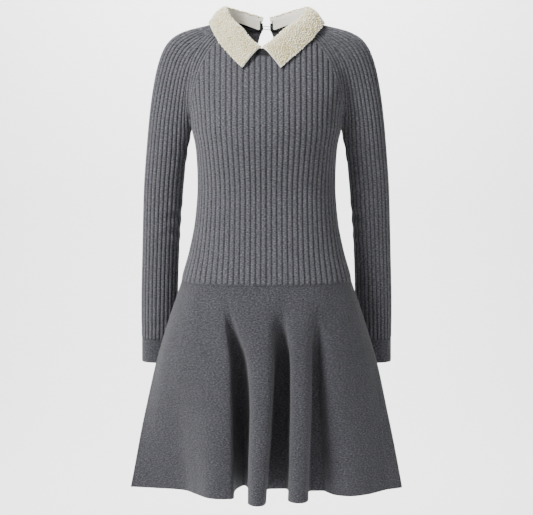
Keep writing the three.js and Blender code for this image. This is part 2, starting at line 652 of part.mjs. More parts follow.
function cuff(mirrored) {
  const columns = [];
  const levelOf = (z) => (z - ARMPIT_Z) / (ARMPIT_Z - CUFF_END_Z);
  const levels = [-1, levelOf(CUFF_TOP_Z - SEAM_GAP)];
  for (const [face, steps] of [['back', RIBS_HALF_SLEEVE], ['front', -RIBS_HALF_SLEEVE]]) {
    for (let i = 0; i < RIBS_HALF_SLEEVE; i += 1) {
      const share = steps > 0 ? 1 - i / steps : i / -steps;
      columns.push([face, share]);
    }
  }
  columns.push(['front', 1]);
  const built = columns.map(([face, share]) => {
    const outer = levels.map((level) => {
      const half = sleeveHalf(face, level);
      return half.at(half.total * share).addScaledVector(sleeveNormal(face, share, level), 0.4);
    });
    const inner = levels.map((level, i) =>
      outer[i].clone().addScaledVector(sleeveNormal(face, share, level), -KNIT_WALL));
    return { outer, inner, fine: false };
  });
  return geometryOf(wall(built, { firstEdgeFrom: 2, lastEdgeFrom: 2 }), mirrored);
}

// Skirt surface: sections grow from the waist seam to the hem line, and the folds with them
const foldCurve = (() => {
  const looped = [FOLDS.at(-1), ...FOLDS, FOLDS[0], FOLDS[1]].map((fold, i, list) => ({
    ...fold,
    turn: fold.turn + (i === 0 ? -360 : i >= list.length - 2 ? 360 : 0),
  }));
  return curvesOf(looped, 'turn');
})();

function skirtPoint(turn, share) {
  const ellipse = (level) => {
    const z = mix(SIDE_SEAM_Z, HEM_Z, level);
    const power = mix(torso.power(SIDE_SEAM_Z), 2, easeBetween(0, 0.35, level));
    const angle = (turn * Math.PI) / 180;
    const [c, s] = [Math.cos(angle), Math.sin(angle)];
    const depth = s < 0 ? skirt.front(z) : skirt.back(z);
    const x = Math.sign(c) * skirt.width(z) * Math.abs(c) ** (2 / power);
    return [x, skirt.middle(z) + Math.sign(s) * depth * Math.abs(s) ** (2 / power)];
  };
  const [here, hem] = [ellipse(share), ellipse(1)];
  const grown = 0.85 * easeBetween(FOLDS_START, FOLDS_FULL, share) + 0.15 * share;
  const x = here[0] + grown * (foldCurve.x(turn) - hem[0]);
  const y = here[1] + grown * (foldCurve.y(turn) - hem[1]);
  const seamRise = WAIST_SEAM_FRONT_RISE * (1 - (here[0] / skirt.width(SIDE_SEAM_Z)) ** 2);
  const z = mix(SIDE_SEAM_Z - SEAM_GAP + Math.max(0, seamRise), HEM_Z, share);
  return new THREE.Vector3(x, y, z);
}

function skirtPanel(from, to) {
  const edge = 0.05;
  // Columns are spread by the hem's length, so that the folds get their share of them
  const hem = measured((u) => skirtPoint(mix(from + edge, to - edge, u), 1), 400);
  const waist = measured((u) => skirtPoint(mix(from + edge, to - edge, u), 0), 400);
  const columns = [];
  for (let i = 0; i <= SKIRT_COLUMNS; i += 1) {
    const share = i / SKIRT_COLUMNS;
    const place = mix(waist.shareAt(waist.total * share), hem.shareAt(hem.total * share), 0.8);
    const turn = mix(from + edge, to - edge, place);
    const outer = SKIRT_ROWS.map((row) => skirtPoint(turn, row));
    const inner = SKIRT_ROWS.map((row, r) => {
      const around = skirtPoint(turn + 0.3, row).sub(skirtPoint(turn - 0.3, row));
      const up = skirtPoint(turn, Math.max(0, row - 0.01)).sub(skirtPoint(turn, Math.min(1, row + 0.01)));
      const normal = around.cross(up).normalize();
      normal.z = r === 0 || row === 1 ? 0 : normal.z;
      return outer[r].clone().addScaledVector(normal.normalize(), -KNIT_WALL);
    });
    columns.push({ outer, inner, fine: false });
  }
  return geometryOf(wall(columns.reverse()));
}

// Neckline all round one side of the dress, from the front middle to the back opening (wearer's left)
function necklinePoints() {
  const points = [];
  const corner = { front: raglan.front(raglanTop.front), back: raglan.back(raglanTop.back) };
  const onPanel = (face, x) => {
    const z = necklineZ(face, x);
    const power = torso.power(z);
    const y = torso[face](z) * (1 - (x / torso.width(z)) ** power) ** (1 / power);
    return new THREE.Vector3(x, facing[face] * y, z);
  };
  for (let i = 0; i <= 8; i += 1) points.push(onPanel('front', (corner.front * i) / 8));
  const opposite = (p) => new THREE.Vector3(-p.x, p.y, p.z);
  for (const share of [0.75, 0.5, 0.25]) {
    const half = sleeveHalf('front', 1);
    points.push(opposite(half.at(half.total * share)));
  }
  for (const share of [0, 0.33, 0.67]) {
    const half = sleeveHalf('back', 1);
    points.push(opposite(half.at(half.total * share)));
  }
  for (let i = 0; i <= 6; i += 1) points.push(onPanel('back', mix(corner.back, KEYHOLE.at(-1).half, i / 6)));
  return points;
}

function neckband() {
  const line = necklinePoints();
  const lift = 0.9;
  const column = (p, i) => {
    const before = line[Math.max(0, i - 1)];
    const after = line[Math.min(line.length - 1, i + 1)];
    const out = new THREE.Vector3(after.y - before.y, -(after.x - before.x), 0).normalize();
    if (i === 0) out.set(0, -1, 0);
    const backward = i / (line.length - 1);
    const rise = mix(NECKBAND_RISE.front, NECKBAND_RISE.back, backward);
    const lean = mix(3, 0.3, backward);
    const outer = [0, 1].map((share) => {
      const up = lift + rise * share;
      return p.clone().addScaledVector(out, -lean * share).add(new THREE.Vector3(0, 0, up));
    });
    return { outer, inner: outer.map((q) => q.clone().addScaledVector(out, -KNIT_WALL)), fine: false };
  };
  const left = line.map(column);
  const flip = (p) => new THREE.Vector3(-p.x, p.y, p.z);
  const right = left.slice(1).map((c) => ({ outer: c.outer.map(flip), inner: c.inner.map(flip), fine: false }));
  return geometryOf(wall([...right.reverse(), ...left]));
}

// Collar surface on the wearer's left (+X). across runs from the inner start (below 0) over the roll
// line (0) to the outer edge (1).
function collarFrame(at) {
  const roll = new THREE.Vector3(collar.rollX(at), collar.rollY(at), collar.rollZ(at));
  const edge = new THREE.Vector3(collar.edgeX(at), collar.edgeY(at), collar.edgeZ(at));
  const step = 0.02;
  const [a, b] = [Math.max(0, at - step), Math.min(1, at + step)];
  const along = new THREE.Vector3(collar.rollX(b) - collar.rollX(a), collar.rollY(b) - collar.rollY(a), 0);
  const out = new THREE.Vector3(along.y, -along.x, 0).normalize();
  return { roll, edge, out };
}

function leafPoint(at, across) {
  const { roll, edge, out } = collarFrame(at);
  const reach = Math.hypot(edge.x - roll.x, edge.y - roll.y);
  const crown = roll.clone().addScaledVector(out, reach * 0.42).add(new THREE.Vector3(0, 0, 1));
  const u = across;
  return new THREE.Vector3()
    .addScaledVector(roll, (1 - u) ** 2)
    .addScaledVector(crown, 2 * u * (1 - u))
    .addScaledVector(edge, u * u);
}

function shiftFront(point, at, side) {
  const shifted = point.clone();
  shifted.x = side * point.x + COLLAR_FRONT_SHIFT * (1 - easeBetween(0, 0.5, at));
  return shifted;
}

function collarLeaf(side) {
  const columns = [];
  for (let i = 0; i <= COLLAR_STATIONS; i += 1) {
    const at = i / COLLAR_STATIONS;
    const { roll, out } = collarFrame(at);
    const start = roll.clone().addScaledVector(out, -COLLAR_WALL - 0.6);
    start.z -= collar.lift(at);
    const line = [start, ...LEAF_STEPS.map((u) => leafPoint(at, u))];
    line[1].addScaledVector(out, -COLLAR_WALL - 0.4).add(new THREE.Vector3(0, 0, -1.4));
    line.splice(2, 0, roll.clone());
    const thick = line.map((p, r) => {
      const before = line[Math.max(0, r - 1)];
      const after = line[Math.min(line.length - 1, r + 1)];
      const run = after.clone().sub(before);
      const [h, v] = [run.dot(out), run.z];
      const length = Math.hypot(h, v);
      return p.clone().addScaledVector(out, (v / length) * COLLAR_WALL)
        .add(new THREE.Vector3(0, 0, (-h / length) * COLLAR_WALL));
    });
    const place = (p) => shiftFront(p, at, side);
    columns.push({ outer: line.map(place), inner: thick.map(place), fine: false });
  }
  const order = side > 0 ? columns.reverse() : columns;
  return geometryOf(wall(order));
}

function collarStand(side) {
  const columns = [];
  for (let i = 0; i <= COLLAR_STATIONS; i += 1) {
    const at = i / COLLAR_STATIONS;
    const { roll, out } = collarFrame(at);
    const place = (inward, z) => shiftFront(roll.clone().addScaledVector(out, -inward).setZ(z), at, side);
    const top = roll.z - collar.lift(at) - SEAM_GAP;
    const foot = roll.z - collar.stand(at);
    const inset = COLLAR_WALL + 0.6;
    const outer = [place(inset, top), place(inset - 1.2, foot)];
    const inner = [place(inset - 1.5, top), place(inset - 2.7, foot)];
    columns.push({ outer, inner, fine: false });
  }
  const order = side > 0 ? columns : columns.reverse();
  return geometryOf(wall(order));
}

// A wire bent into a long narrow U, lying across the back opening
function bentWire(rows) {
  const upper = rows.map((row) => new THREE.Vector3(row.x, row.y, FASTENER.height + row.rise));
  const lower = rows.slice(0, -1).map((row) => new THREE.Vector3(row.x, row.y, FASTENER.height - row.rise));
  const path = new THREE.CatmullRomCurve3([...upper, ...lower.reverse()]);
  const section = new THREE.Shape();
  section.absarc(0, 0, FASTENER.wire, 0, Math.PI * 2);
  return new THREE.ExtrudeGeometry(section, { steps: 16, curveSegments: 3, extrudePath: path });
}

const dress = new THREE.Group();

function sew(name, geometry, material) {
  const mesh = new THREE.Mesh(geometry, material);
  mesh.name = name;
  dress.add(mesh);
  return mesh;
}

sew('bodice_front', bodiceFront(), knit);
sew('bodice_back', bodiceBack(), knit);
sew('sleeve_right', sleeveTube(false), knit);
sew('sleeve_left', sleeveTube(true), knit);
sew('cuff_right', cuff(false), skirtKnit);
sew('cuff_left', cuff(true), skirtKnit);
sew('skirt_front', skirtPanel(180, 360), skirtKnit);
sew('skirt_back', skirtPanel(360, 540), skirtKnit);
sew('neckband', neckband(), knitDark);
sew('collar_right', collarLeaf(-1), beaded);
sew('collar_left', collarLeaf(1), beaded);
sew('collar_stand_right', collarStand(-1), ivory);
sew('collar_stand_left', collarStand(1), ivory);
sew('back_eye', bentWire(EYE_WIRE), steel);
sew('back_hook', bentWire(HOOK_WIRE), steel);

export default dress;
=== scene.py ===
"""A ribbed knit sweater dress with a flared skirt and a pearl-beaded collar, filled out as worn."""
import math

import bmesh
import bpy
import numpy as np
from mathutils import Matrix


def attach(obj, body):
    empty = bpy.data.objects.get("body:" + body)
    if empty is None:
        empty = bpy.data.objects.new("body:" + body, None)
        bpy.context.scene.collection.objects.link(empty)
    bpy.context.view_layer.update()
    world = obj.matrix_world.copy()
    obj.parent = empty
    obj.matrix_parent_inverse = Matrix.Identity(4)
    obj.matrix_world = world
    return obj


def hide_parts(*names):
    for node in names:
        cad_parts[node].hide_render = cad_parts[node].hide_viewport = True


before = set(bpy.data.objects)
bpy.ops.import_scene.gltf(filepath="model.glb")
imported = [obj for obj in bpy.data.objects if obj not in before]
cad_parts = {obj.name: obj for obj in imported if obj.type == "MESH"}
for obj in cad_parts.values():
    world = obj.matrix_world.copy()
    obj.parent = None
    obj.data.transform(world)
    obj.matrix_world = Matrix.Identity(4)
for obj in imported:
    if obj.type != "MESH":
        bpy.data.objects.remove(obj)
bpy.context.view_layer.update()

# Sizes in millimetres; the scene itself is in metres
MM = 0.001
KNIT_WALL = 1.6
RIB_RELIEF = 1.8
SEAM_GAP = 0.1
SIDE_SEAM_GAP = 0.05
RAGLAN_GAP = 0.8
ARMPIT_GAP = 0.5
WAIST_SEAM_Z = -450.5
ARMPIT_Z = -179.7
HEM_Z = -832.5
CUFF_TOP_Z = -571
CUFF_END_Z = -615
KEYHOLE_FOOT_Z = -95

# Ribs: counted on half of the front, and on half of a sleeve
RIBS_QUARTER = 19
RIBS_HALF_SLEEVE = 13
SLEEVE_RIBS_AT_NECK = 8
RAGLAN_BAND = 15
RAGLAN_BAND_RIBS = 2
NECK_BORDER = 9
RIB_STEPS = (0, 0.05, 0.11, 0.19, 0.34, 0.5, 0.66, 0.81, 0.89, 0.95)

FACING = {"front": -1, "back": 1}

# Bodice sections: half width, depth to front and back, corner power, rib width mid-panel
TORSO = """
z      width  front  back  power  rib
-472   159.5  114    114   2.45   9.4
-463   156.8  112    112   2.45   9.4
-425   145.1  105    106   2.45   9.3
-398   137.7  100    102   2.4    9.2
-352   128.1  94     96    2.4    9.1
-300   122.6  92     91    2.4    9.0
-269   122.1  96     91    2.4    9.1
-238   123.3  104    93    2.4    9.4
-207   126.2  111    96    2.4    9.7
-179.7 132.2  114    98    2.4    9.9
-150   135.6  109.5  97.5  2.4    9.9
-120   141    99.5   96    2.4    9.9
-90    143    88     92    2.35   9.9
-60    137    75     84    2.35   9.9
-35    123    63     74    2.35   9.9
-10    107    47     63    2.35   9.9
10     92     38     56    2.35   9.9
"""

# Raglan seams: distance from the middle at each height
RAGLAN_FRONT = """
z      x
-179.7 132.2
-156   132.8
-130   133.2
-109   131.6
-89    127.8
-68    121.8
-52    114
-38    104.8
-25    93.7
-12.4  77
"""
RAGLAN_BACK = """
z      x
-179.7 132.2
-156   132.6
-128   131
-100   126
-72    117.5
-45    105
-20    90
4      73
"""

# Sleeve below the armpit: outer and inner edge of each section, and how far back it hangs
SLEEVE = """
z      outer  inner  back  inner_back
-615   234.5  172    85    85
-571   233.5  170.2  79    79
-513   232    167.6  71    71
-450   229.6  165.4  61    61
-388   227    161.4  50    50
-326   223.8  156.6  38    37
-280   221    152.2  28    26
-235   216.8  146.4  19    16
-200   213.6  139    13    7
-179.7 211.3  132.6  10    0
"""

# Top line of the sleeve cap, from the armpit section (0) to the neck (1)
CAP_TOP = """
at    x      y   z
0     211.3  10  -177
0.2   206.2  8   -121
0.35  199.5  6   -84
0.5   189    4   -50
0.6   179    3   -31.5
0.7   163    2   -16.5
0.8   138    3   -6.5
0.9   108    4   0.5
1     80     5   8.5
"""
ARMPIT_OPENS_OVER = 0.42
ARMPIT_UNROLLS_AT = 34
SLEEVE_DEPTH = 0.86
SLEEVE_TUBE_ROWS = 92
CUFF_ROWS = 26

# Skirt sections, each an ellipse before the folds
SKIRT = """
z       width  front  back  middle
-832.5  248.9  109    154   -10
-802    243.1  110    153   -11
-729.5  229.6  112    150   -12
-664    216    114    145   -12
-603    202.5  116    138   -11
-563    191.1  117    130   -9
-539    183.2  117    125   -7
-508    172.5  116    119   -4
-478    161.7  114    114   -1
-463    156.8  112    112   0
-450.5  152.7  110.4  110.6 0
"""

# Fold lines of the skirt. turn is where each leaves the waist seam, in degrees (180 is the wearer's
# right, 270 the front); then its place below the hip (1), at a third of the way (2) and at the hem (3).
FOLD_LINES = """
turn   x1     y1     x2     y2     x3     y3
180    -171   -3     -197   -11    -248.9 -10
196    -164   -38    -184   -50    -206   -18
210    -148   -68    -156   -80    -150   -32
220    -131   -86    -131   -95    -127   -58
229    -110   -98    -104   -107   -104   -85
236    -90    -107   -80    -115   -80    -92
241    -76    -111.5 -66    -117   -63    -91
242.6  -73    -111.5 -62    -112   -57    -81
244    -70    -110   -63    -95    -57.5  -56
245.6  -67.5  -109   -57    -76    -53.5  -25
247.6  -63    -108.5 -44    -72    -41    -2
249.6  -58    -112   -34    -94    -31.5  -50
251.5  -54    -115   -32    -118   -33    -114
256    -40    -119   -22    -128   -27    -130
262    -22    -121   -8     -130   -17    -136
268    -4     -121   6      -127   -6     -131
272    8      -119   14     -114   -0.5   -108
274.5  15     -116   12.5   -90    -3     -62
277    21     -113   20     -70    4      -26
280    28     -112   34     -68    34     -24
282.5  34     -114   43     -90    40.5   -56
285    39     -116.5 41     -114   37.5   -96
290    51     -118   51     -124   45     -112
294    61     -117   62     -124   56     -117
298    71     -115   73     -118   67     -113
301.5  79     -111   79     -106   74     -96
304    84     -107.5 77.5   -88    71     -66
306.5  88     -105   83     -77    82     -38
309    93     -103.5 91     -78    102    -38
312    99     -101   97     -87    112    -52
318    111    -95    113    -95    122    -64
328    134    -81    142    -82    148    -73
340    155    -56    170    -58    182    -60
350    166.5  -30    188    -34    218    -30
360    171    -3     197    -11    248.9  -10
374    166    27     186    30     226    52
386    154    52     168    56     172    62
398    134    80     146    91     148    122
411    108    91     107    84     103    72
423    78     108    78     120    76     146
437    40     108    40     92     38     64
451    0      117    2      131    4      154
465    -44    107.5  -38    92     -34    68
478    -80    108    -78    120    -74    144
490    -108   91     -108   84     -106   74
502    -135   80     -146   91     -146   120
514    -156   51     -168   56     -170   60
526    -167   28     -186   30     -226   50
540    -171   -3     -197   -11    -248.9 -10
"""
FOLD_LEVELS = (0, 0.14, 0.36, 1)
BACK_WAVE_FULLNESS = 1.7

# Keyhole in the back, below the neckline: half width at each height
KEYHOLE = """
z    half
-95  0
-84  7.5
-66  14
-45  17
-28  16
-12  12
0    6.5
"""
KEYHOLE_SPREAD = 40

# Collar leaf, from the front end (0) to the back end (1): its roll line and its outer edge.
# lift is how far below the roll the leaf starts inside, stand is where the stand's foot is.
COLLAR = """
at    roll_x  roll_y  roll_z  edge_x  edge_y  edge_z  lift  stand
0     1.2     -66.5   -39.5   33.4    -87     -75.5   5     12
0.12  20      -60     -25     56      -74     -54     6     15
0.24  37      -50     -7      77      -58     -32     7     18
0.37  58      -34     10      93      -38     -10     8     21
0.48  69.5    -16     26      100.5   -14     3.5     9     23
0.58  73      6       35      101.5   10      6.5     9     24
0.7   63      31      35.2    94      39      1       9     22.5
0.82  43.5    48      31.5    71      60      -8      9     22.4
0.92  21.5    55      25.6    40      70      -12     8.5   23.8
0.965 13.5    56.2    23.2    24      72.5    -13     7.5   23.5
1     6.5     56.8    21.2    15      73.5    -13     7     15
"""
COLLAR_FRONT_SHIFT = -8.6
COLLAR_WALL = 2.0
STAND_END = 0.972

# Neckband above the neckline, by the share of the way from the front middle to the back opening
NECKBAND = """
at    rise  lean
0     12.4  5
0.2   12    4.6
0.5   11    2.8
0.75  9.5   1.5
1     11.5  0.3
"""
NECKBAND_LIFT = 0.03
NECKBAND_FOOT_DROP = 2
NECKBAND_FOOT_IN = 2.2


def smooth_curve(knots, values, fullness=None):
    """A smooth curve through the knots; with a fullness it never swings past them, and 1 is even."""
    tangents = np.gradient(values, knots)
    tangents[1:-1] = (values[2:] - values[:-2]) / (knots[2:] - knots[:-2])
    if fullness is not None:
        slopes = np.diff(values) / np.diff(knots)
        before, after = slopes[:-1], slopes[1:]
        steepest = 2.4 * np.minimum(np.abs(before), np.abs(after))
        wanted = np.abs(tangents[1:-1]) * fullness[1:-1]
        limited = np.sign(tangents[1:-1]) * np.minimum(wanted, steepest)
        tangents[1:-1] = np.where(before * after > 0, limited, 0)

    def at(place):
        place = np.clip(place, knots[0], knots[-1])
        i = np.clip(np.searchsorted(knots, place, side="right") - 1, 0, len(knots) - 2)
        span = knots[i + 1] - knots[i]
        u = (place - knots[i]) / span
        value = values[i] * (1 + 2 * u) * (1 - u) ** 2 + values[i + 1] * u * u * (3 - 2 * u)
        slope = tangents[i] * u * (1 - u) ** 2 + tangents[i + 1] * u * u * (u - 1)
        return value + span * slope

    return at


def curves(table):
    """Smooth curves through the columns of a table, each by the table's first column."""
    lines = table.split("\n")[1:-1]
    names = lines[0].split()
    data = np.array([[float(cell) for cell in line.split()] for line in lines[1:]])
    return {name: smooth_curve(data[:, 0], data[:, i]) for i, name in enumerate(names) if i > 0}


torso = curves(TORSO)
raglan = {"front": curves(RAGLAN_FRONT)["x"], "back": curves(RAGLAN_BACK)["x"]}
RAGLAN_TOP = {"front": -12.4, "back": 4}
sleeve = curves(SLEEVE)
cap_top = curves(CAP_TOP)
skirt = curves(SKIRT)
keyhole = curves(KEYHOLE)["half"]
collar = curves(COLLAR)
neckband = curves(NECKBAND)


def mix(a, b, share):
    return a + (b - a) * share


def ease(low, high, value):
    share = np.clip((value - low) / (high - low), 0, 1)
    return share * share * (3 - 2 * share)


def unit(vectors):
    return vectors / np.maximum(np.linalg.norm(vectors, axis=-1, keepdims=True), 1e-9)


def points(x, y, z):
    return np.stack(np.broadcast_arrays(x, y, z), axis=-1).astype(float)


class Sections:
    """Curves side by side, such as body sections by height, each walked by its own length."""

    samples = 72

    def __init__(self, point, levels):
        self.point = point
        self.levels = levels
        shares = np.linspace(0, 1, self.samples + 1)
        grid = point(shares[None, :], levels[:, None] + 0 * shares[None, :])
        steps = np.linalg.norm(np.diff(grid, axis=1), axis=2)
        self.lengths = np.concatenate([np.zeros((len(levels), 1)), np.cumsum(steps, axis=1)], axis=1)
        self.even = np.stack([np.interp(shares * row[-1], row, shares) for row in self.lengths])

    def _table(self, table, column, level):
        row = np.interp(level, self.levels, np.arange(len(self.levels)))
        column = np.clip(column, 0, 1) * self.samples
        r = np.clip(row.astype(int), 0, len(self.levels) - 2)
        c = np.clip(column.astype(int), 0, self.samples - 1)
        low = mix(table[r, c], table[r, c + 1], column - c)
        high = mix(table[r + 1, c], table[r + 1, c + 1], column - c)
        return mix(low, high, row - r)

    def total(self, level):
        return np.interp(level, self.levels, self.lengths[:, -1])

    def length_to(self, share, level):
        return self._table(self.lengths, np.asarray(share, dtype=float), np.asarray(level, dtype=float))

    def at(self, fraction, level):
        fraction, level = np.broadcast_arrays(fraction, level)
        return self.point(self._table(self.even, fraction.astype(float), level.astype(float)), level)


class Grid:
    """One cloth panel as rows and columns: outer and inner points, place on the knit, and a rib value that the
    materials read as painted shade in rib grooves and at seams, and on the collar leaf as where the net colour
    shows.
    """

    def __init__(self, outer, inner, flat, rib=None):
        self.outer = outer
        self.inner = inner
        self.flat = flat
        self.rib = np.ones(outer.shape[:2]) if rib is None else rib

    def parts(self):
        return self.outer, self.inner, self.flat, self.rib

    def mirrored(self):
        flip = np.array([-1, 1, 1])
        turned = self.outer * flip, self.inner * flip, self.flat * np.array([-1, 1]), self.rib
        return Grid(*(part[:, ::-1] for part in turned))

    def reversed(self):
        return Grid(*(part[:, ::-1] for part in self.parts()))

    def joined(self, other):
        """This grid and the next one on its right, which share a column."""
        return Grid(*(np.concatenate([a[:, :-1], b], axis=1) for a, b in zip(self.parts(), other.parts())))


def torso_section(face):
    def point(share, z):
        angle = share * np.pi / 2
        power = 2 / torso["power"](z)
        x = torso["width"](z) * np.sin(angle) ** power
        y = FACING[face] * torso[face](z) * np.clip(np.cos(angle), 0, 1) ** power
        return points(x, y, z)

    return Sections(point, np.linspace(-472, 10, 242))


body = {face: torso_section(face) for face in FACING}


def body_point(face, length, z):
    return body[face].at(length / body[face].total(z), z)


def body_normal(face, point):
    """Outward direction of the plain torso at a point on it."""
    def value(p):
        width, depth, power = torso["width"](p[..., 2]), torso[face](p[..., 2]), torso["power"](p[..., 2])
        return (np.abs(p[..., 0]) / width) ** power + (np.abs(p[..., 1]) / depth) ** power

    gradient = [value(point + step) - value(point - step) for step in 0.05 * np.eye(3)]
    return unit(np.stack(gradient, axis=-1))


def seam_length(face, z):
    """Length along the body section from the middle to the raglan seam."""
    ratio = np.clip(raglan[face](z) / torso["width"](z), 0, 1)
    share = np.arcsin(ratio ** (torso["power"](z) / 2)) / (np.pi / 2)
    return body[face].length_to(share, z)


def rib_length(face, rib, z):
    level = np.minimum(z, ARMPIT_Z)
    total = body[face].total(level)
    middle = torso["rib"](level) * RIBS_QUARTER
    share = rib / RIBS_QUARTER
    return middle * share + (total - middle) * share ** 3


def neckline_z(face, x):
    end = RAGLAN_TOP[face]
    middle = {"front": -54.5, "back": 0}[face]
    return mix(middle, end, (np.abs(x) / raglan[face](end)) ** 2.2)


def cap_level(face, z):
    return np.clip((z - ARMPIT_Z) / (RAGLAN_TOP[face] - ARMPIT_Z), 0, 1)


def band_width(level):
    return RAGLAN_BAND * ease(0, 0.3, level)


def body_rib_ends(face, ribs):
    """Where each rib's straight run ends, and the place on the panel's edge that it is led to."""
    heights = np.linspace(ARMPIT_Z, RAGLAN_TOP[face], 900)
    seam = seam_length(face, heights)
    inner = seam - band_width(cap_level(face, heights))
    run_z, edge_z, edge_length, at_neck = [], [], [], []
    for rib in ribs:
        length = float(rib_length(face, rib, ARMPIT_Z))
        across = body_point(face, np.full_like(heights, length), heights)[:, 0]
        neck = heights - (neckline_z(face, across) - NECK_BORDER)
        beyond = np.maximum(length - inner, neck)
        first = int(np.argmax(beyond >= 0)) if np.any(beyond >= 0) else len(heights) - 1
        low = max(first - 1, 0)
        rise = beyond[first] - beyond[low]
        share = np.clip(-beyond[low] / rise, 0, 1) if rise > 0 else 0
        z = mix(heights[low], heights[first], share)
        reaches_neck = neck[first] >= length - inner[first] and first > 0
        run_z.append(z)
        at_neck.append(reaches_neck)
        edge_z.append(float(neckline_z(face, across[first])) if reaches_neck else z)
        edge_length.append(length if reaches_neck else float(seam_length(face, z)))
    run_z, edge_z, edge_length = np.array(run_z), np.array(edge_z), np.array(edge_length)
    corner = int(np.flatnonzero(at_neck)[-1])
    edge_z[corner] = RAGLAN_TOP[face]
    edge_length[corner] = seam_length(face, RAGLAN_TOP[face])
    return run_z, edge_z, edge_length, np.array(at_neck)


def rib_profile(place):
    """Relief of one rib, 0 in the groove and 1 on the rounded wale; place counts ribs."""
    from_groove = np.abs((place + 0.5) % 1 - 0.5)
    return ease(0.02, 0.24, from_groove) * (0.86 + 0.14 * ease(0.2, 0.5, from_groove))


def rib_places(count):
    whole = np.arange(count)[:, None] + np.array(RIB_STEPS)[None, :]
    return np.append(whole.ravel(), count)


def bodice_half(face, run_steps, slit_z=None):
    """Grids of one half panel on +X: outer and inner points, and flat positions for the knit."""
    ribs = rib_places(RIBS_QUARTER)
    run_z, edge_z, edge_length, at_neck = body_rib_ends(face, ribs)
    seam_z = np.full_like(ribs, WAIST_SEAM_Z)
    run = np.concatenate([[0, 0.0025, 0.006], np.linspace(0.012, 1, run_steps)])[:, None]
    if slit_z is not None:
        slit_share = (slit_z - seam_z[0]) / (run_z[0] - seam_z[0])
        run[np.argmin(np.abs(run - slit_share))] = slit_share
    run_heights = mix(seam_z[None, :], run_z[None, :], run)
    run_lengths = rib_length(face, ribs[None, :], run_heights)
    band = rib_places(RAGLAN_BAND_RIBS)[1:, None] / RAGLAN_BAND_RIBS
    band_heights = mix(run_z[None, :], edge_z[None, :], band)
    end_length = np.where(at_neck, edge_length, edge_length - RAGLAN_GAP / 2)
    band_lengths = mix(rib_length(face, ribs, run_z)[None, :], end_length[None, :], band)
    heights = np.concatenate([run_heights, band_heights])
    lengths = np.concatenate([run_lengths, band_lengths])
    lengths = lengths - np.where(ribs == RIBS_QUARTER, SEAM_GAP / 2, 0)[None, :]
    flat = points(lengths, heights, 0)[..., :2] * MM

    # Relief: upright ribs on the run, ribs along the seam on the band
    rows = len(run)
    upright = np.broadcast_to(rib_profile(ribs)[None, :], heights.shape)
    side_calm = np.where(ribs > RIBS_QUARTER - 0.6, 0.5, 1)[None, :]
    relief = upright * side_calm
    along = rib_profile(band * RAGLAN_BAND_RIBS)
    opened = ease(0.03, 0.2, cap_level(face, run_z))[None, :]
    relief[rows:] = np.where(at_neck[None, :], relief[rows:], mix(relief[rows:] * (1 - band), along, opened))
    from_waist = heights - seam_z[None, :]
    fade = 4 + 12 * ease(RIBS_QUARTER - 2.5, RIBS_QUARTER, ribs)[None, :]
    relief = relief * mix(0.1, 1, ease(0, 1, from_waist / fade))
    from_neck = np.where(at_neck, edge_z, 99)[None, :] - heights
    relief = relief * mix(0.35, 1, ease(0, 6, from_neck))
    # Painted shade for the colour, stored as the rib value: darker in the rib grooves, with a thin dark line
    # painted along the waist seam
    shade = mix(relief, 1, 0.7 * ease(3, 0, from_waist)) * (1 - 0.55 * np.exp(-(from_waist / 0.8) ** 2))

    if slit_z is not None:
        spread = np.where(heights > slit_z + 0.01, keyhole(heights), 0)
        lengths = lengths + spread * np.exp(-((lengths / KEYHOLE_SPREAD) ** 2))
    base = body_point(face, lengths, heights)
    normal = body_normal(face, base)
    outer = base + normal * (RIB_RELIEF * relief + cloth_drift(base))[..., None]
    inner = base - normal * (KNIT_WALL - cloth_drift(base))[..., None]
    return Grid(outer, inner, flat, shade), heights


def cloth_drift(p):
    """Small unevenness of worn knit, in millimetres, slow in every direction."""
    x, y, z = p[..., 0], p[..., 1], p[..., 2]
    waves = np.sin(x / 31 + z / 47) + np.sin(z / 29 - x / 53 + 1.7) + np.sin(y / 37 + z / 61 + 0.6)
    return 0.22 * waves


def sleeve_top(level):
    z = mix(ARMPIT_Z, CUFF_END_Z, -np.minimum(level, 0))
    low = points(-sleeve["outer"](z), sleeve["back"](z), z + 2.7 * (1 + np.minimum(level, 0)))
    high = points(-cap_top["x"](level), cap_top["y"](level), cap_top["z"](level))
    return np.where((level < 0)[..., None], low, high)


def sleeve_seam(face, level):
    z = mix(ARMPIT_Z, CUFF_END_Z, -np.minimum(level, 0))
    low = points(-sleeve["inner"](z), sleeve["inner_back"](z), z)
    up = np.maximum(level, 0)
    z = mix(ARMPIT_Z, RAGLAN_TOP[face], up)
    at = body_point(face, seam_length(face, z), z)
    clear = ARMPIT_GAP * (1 - ease(0, 0.25, up))
    return np.where((level < 0)[..., None], low, points(-at[..., 0] - clear, at[..., 1], z))


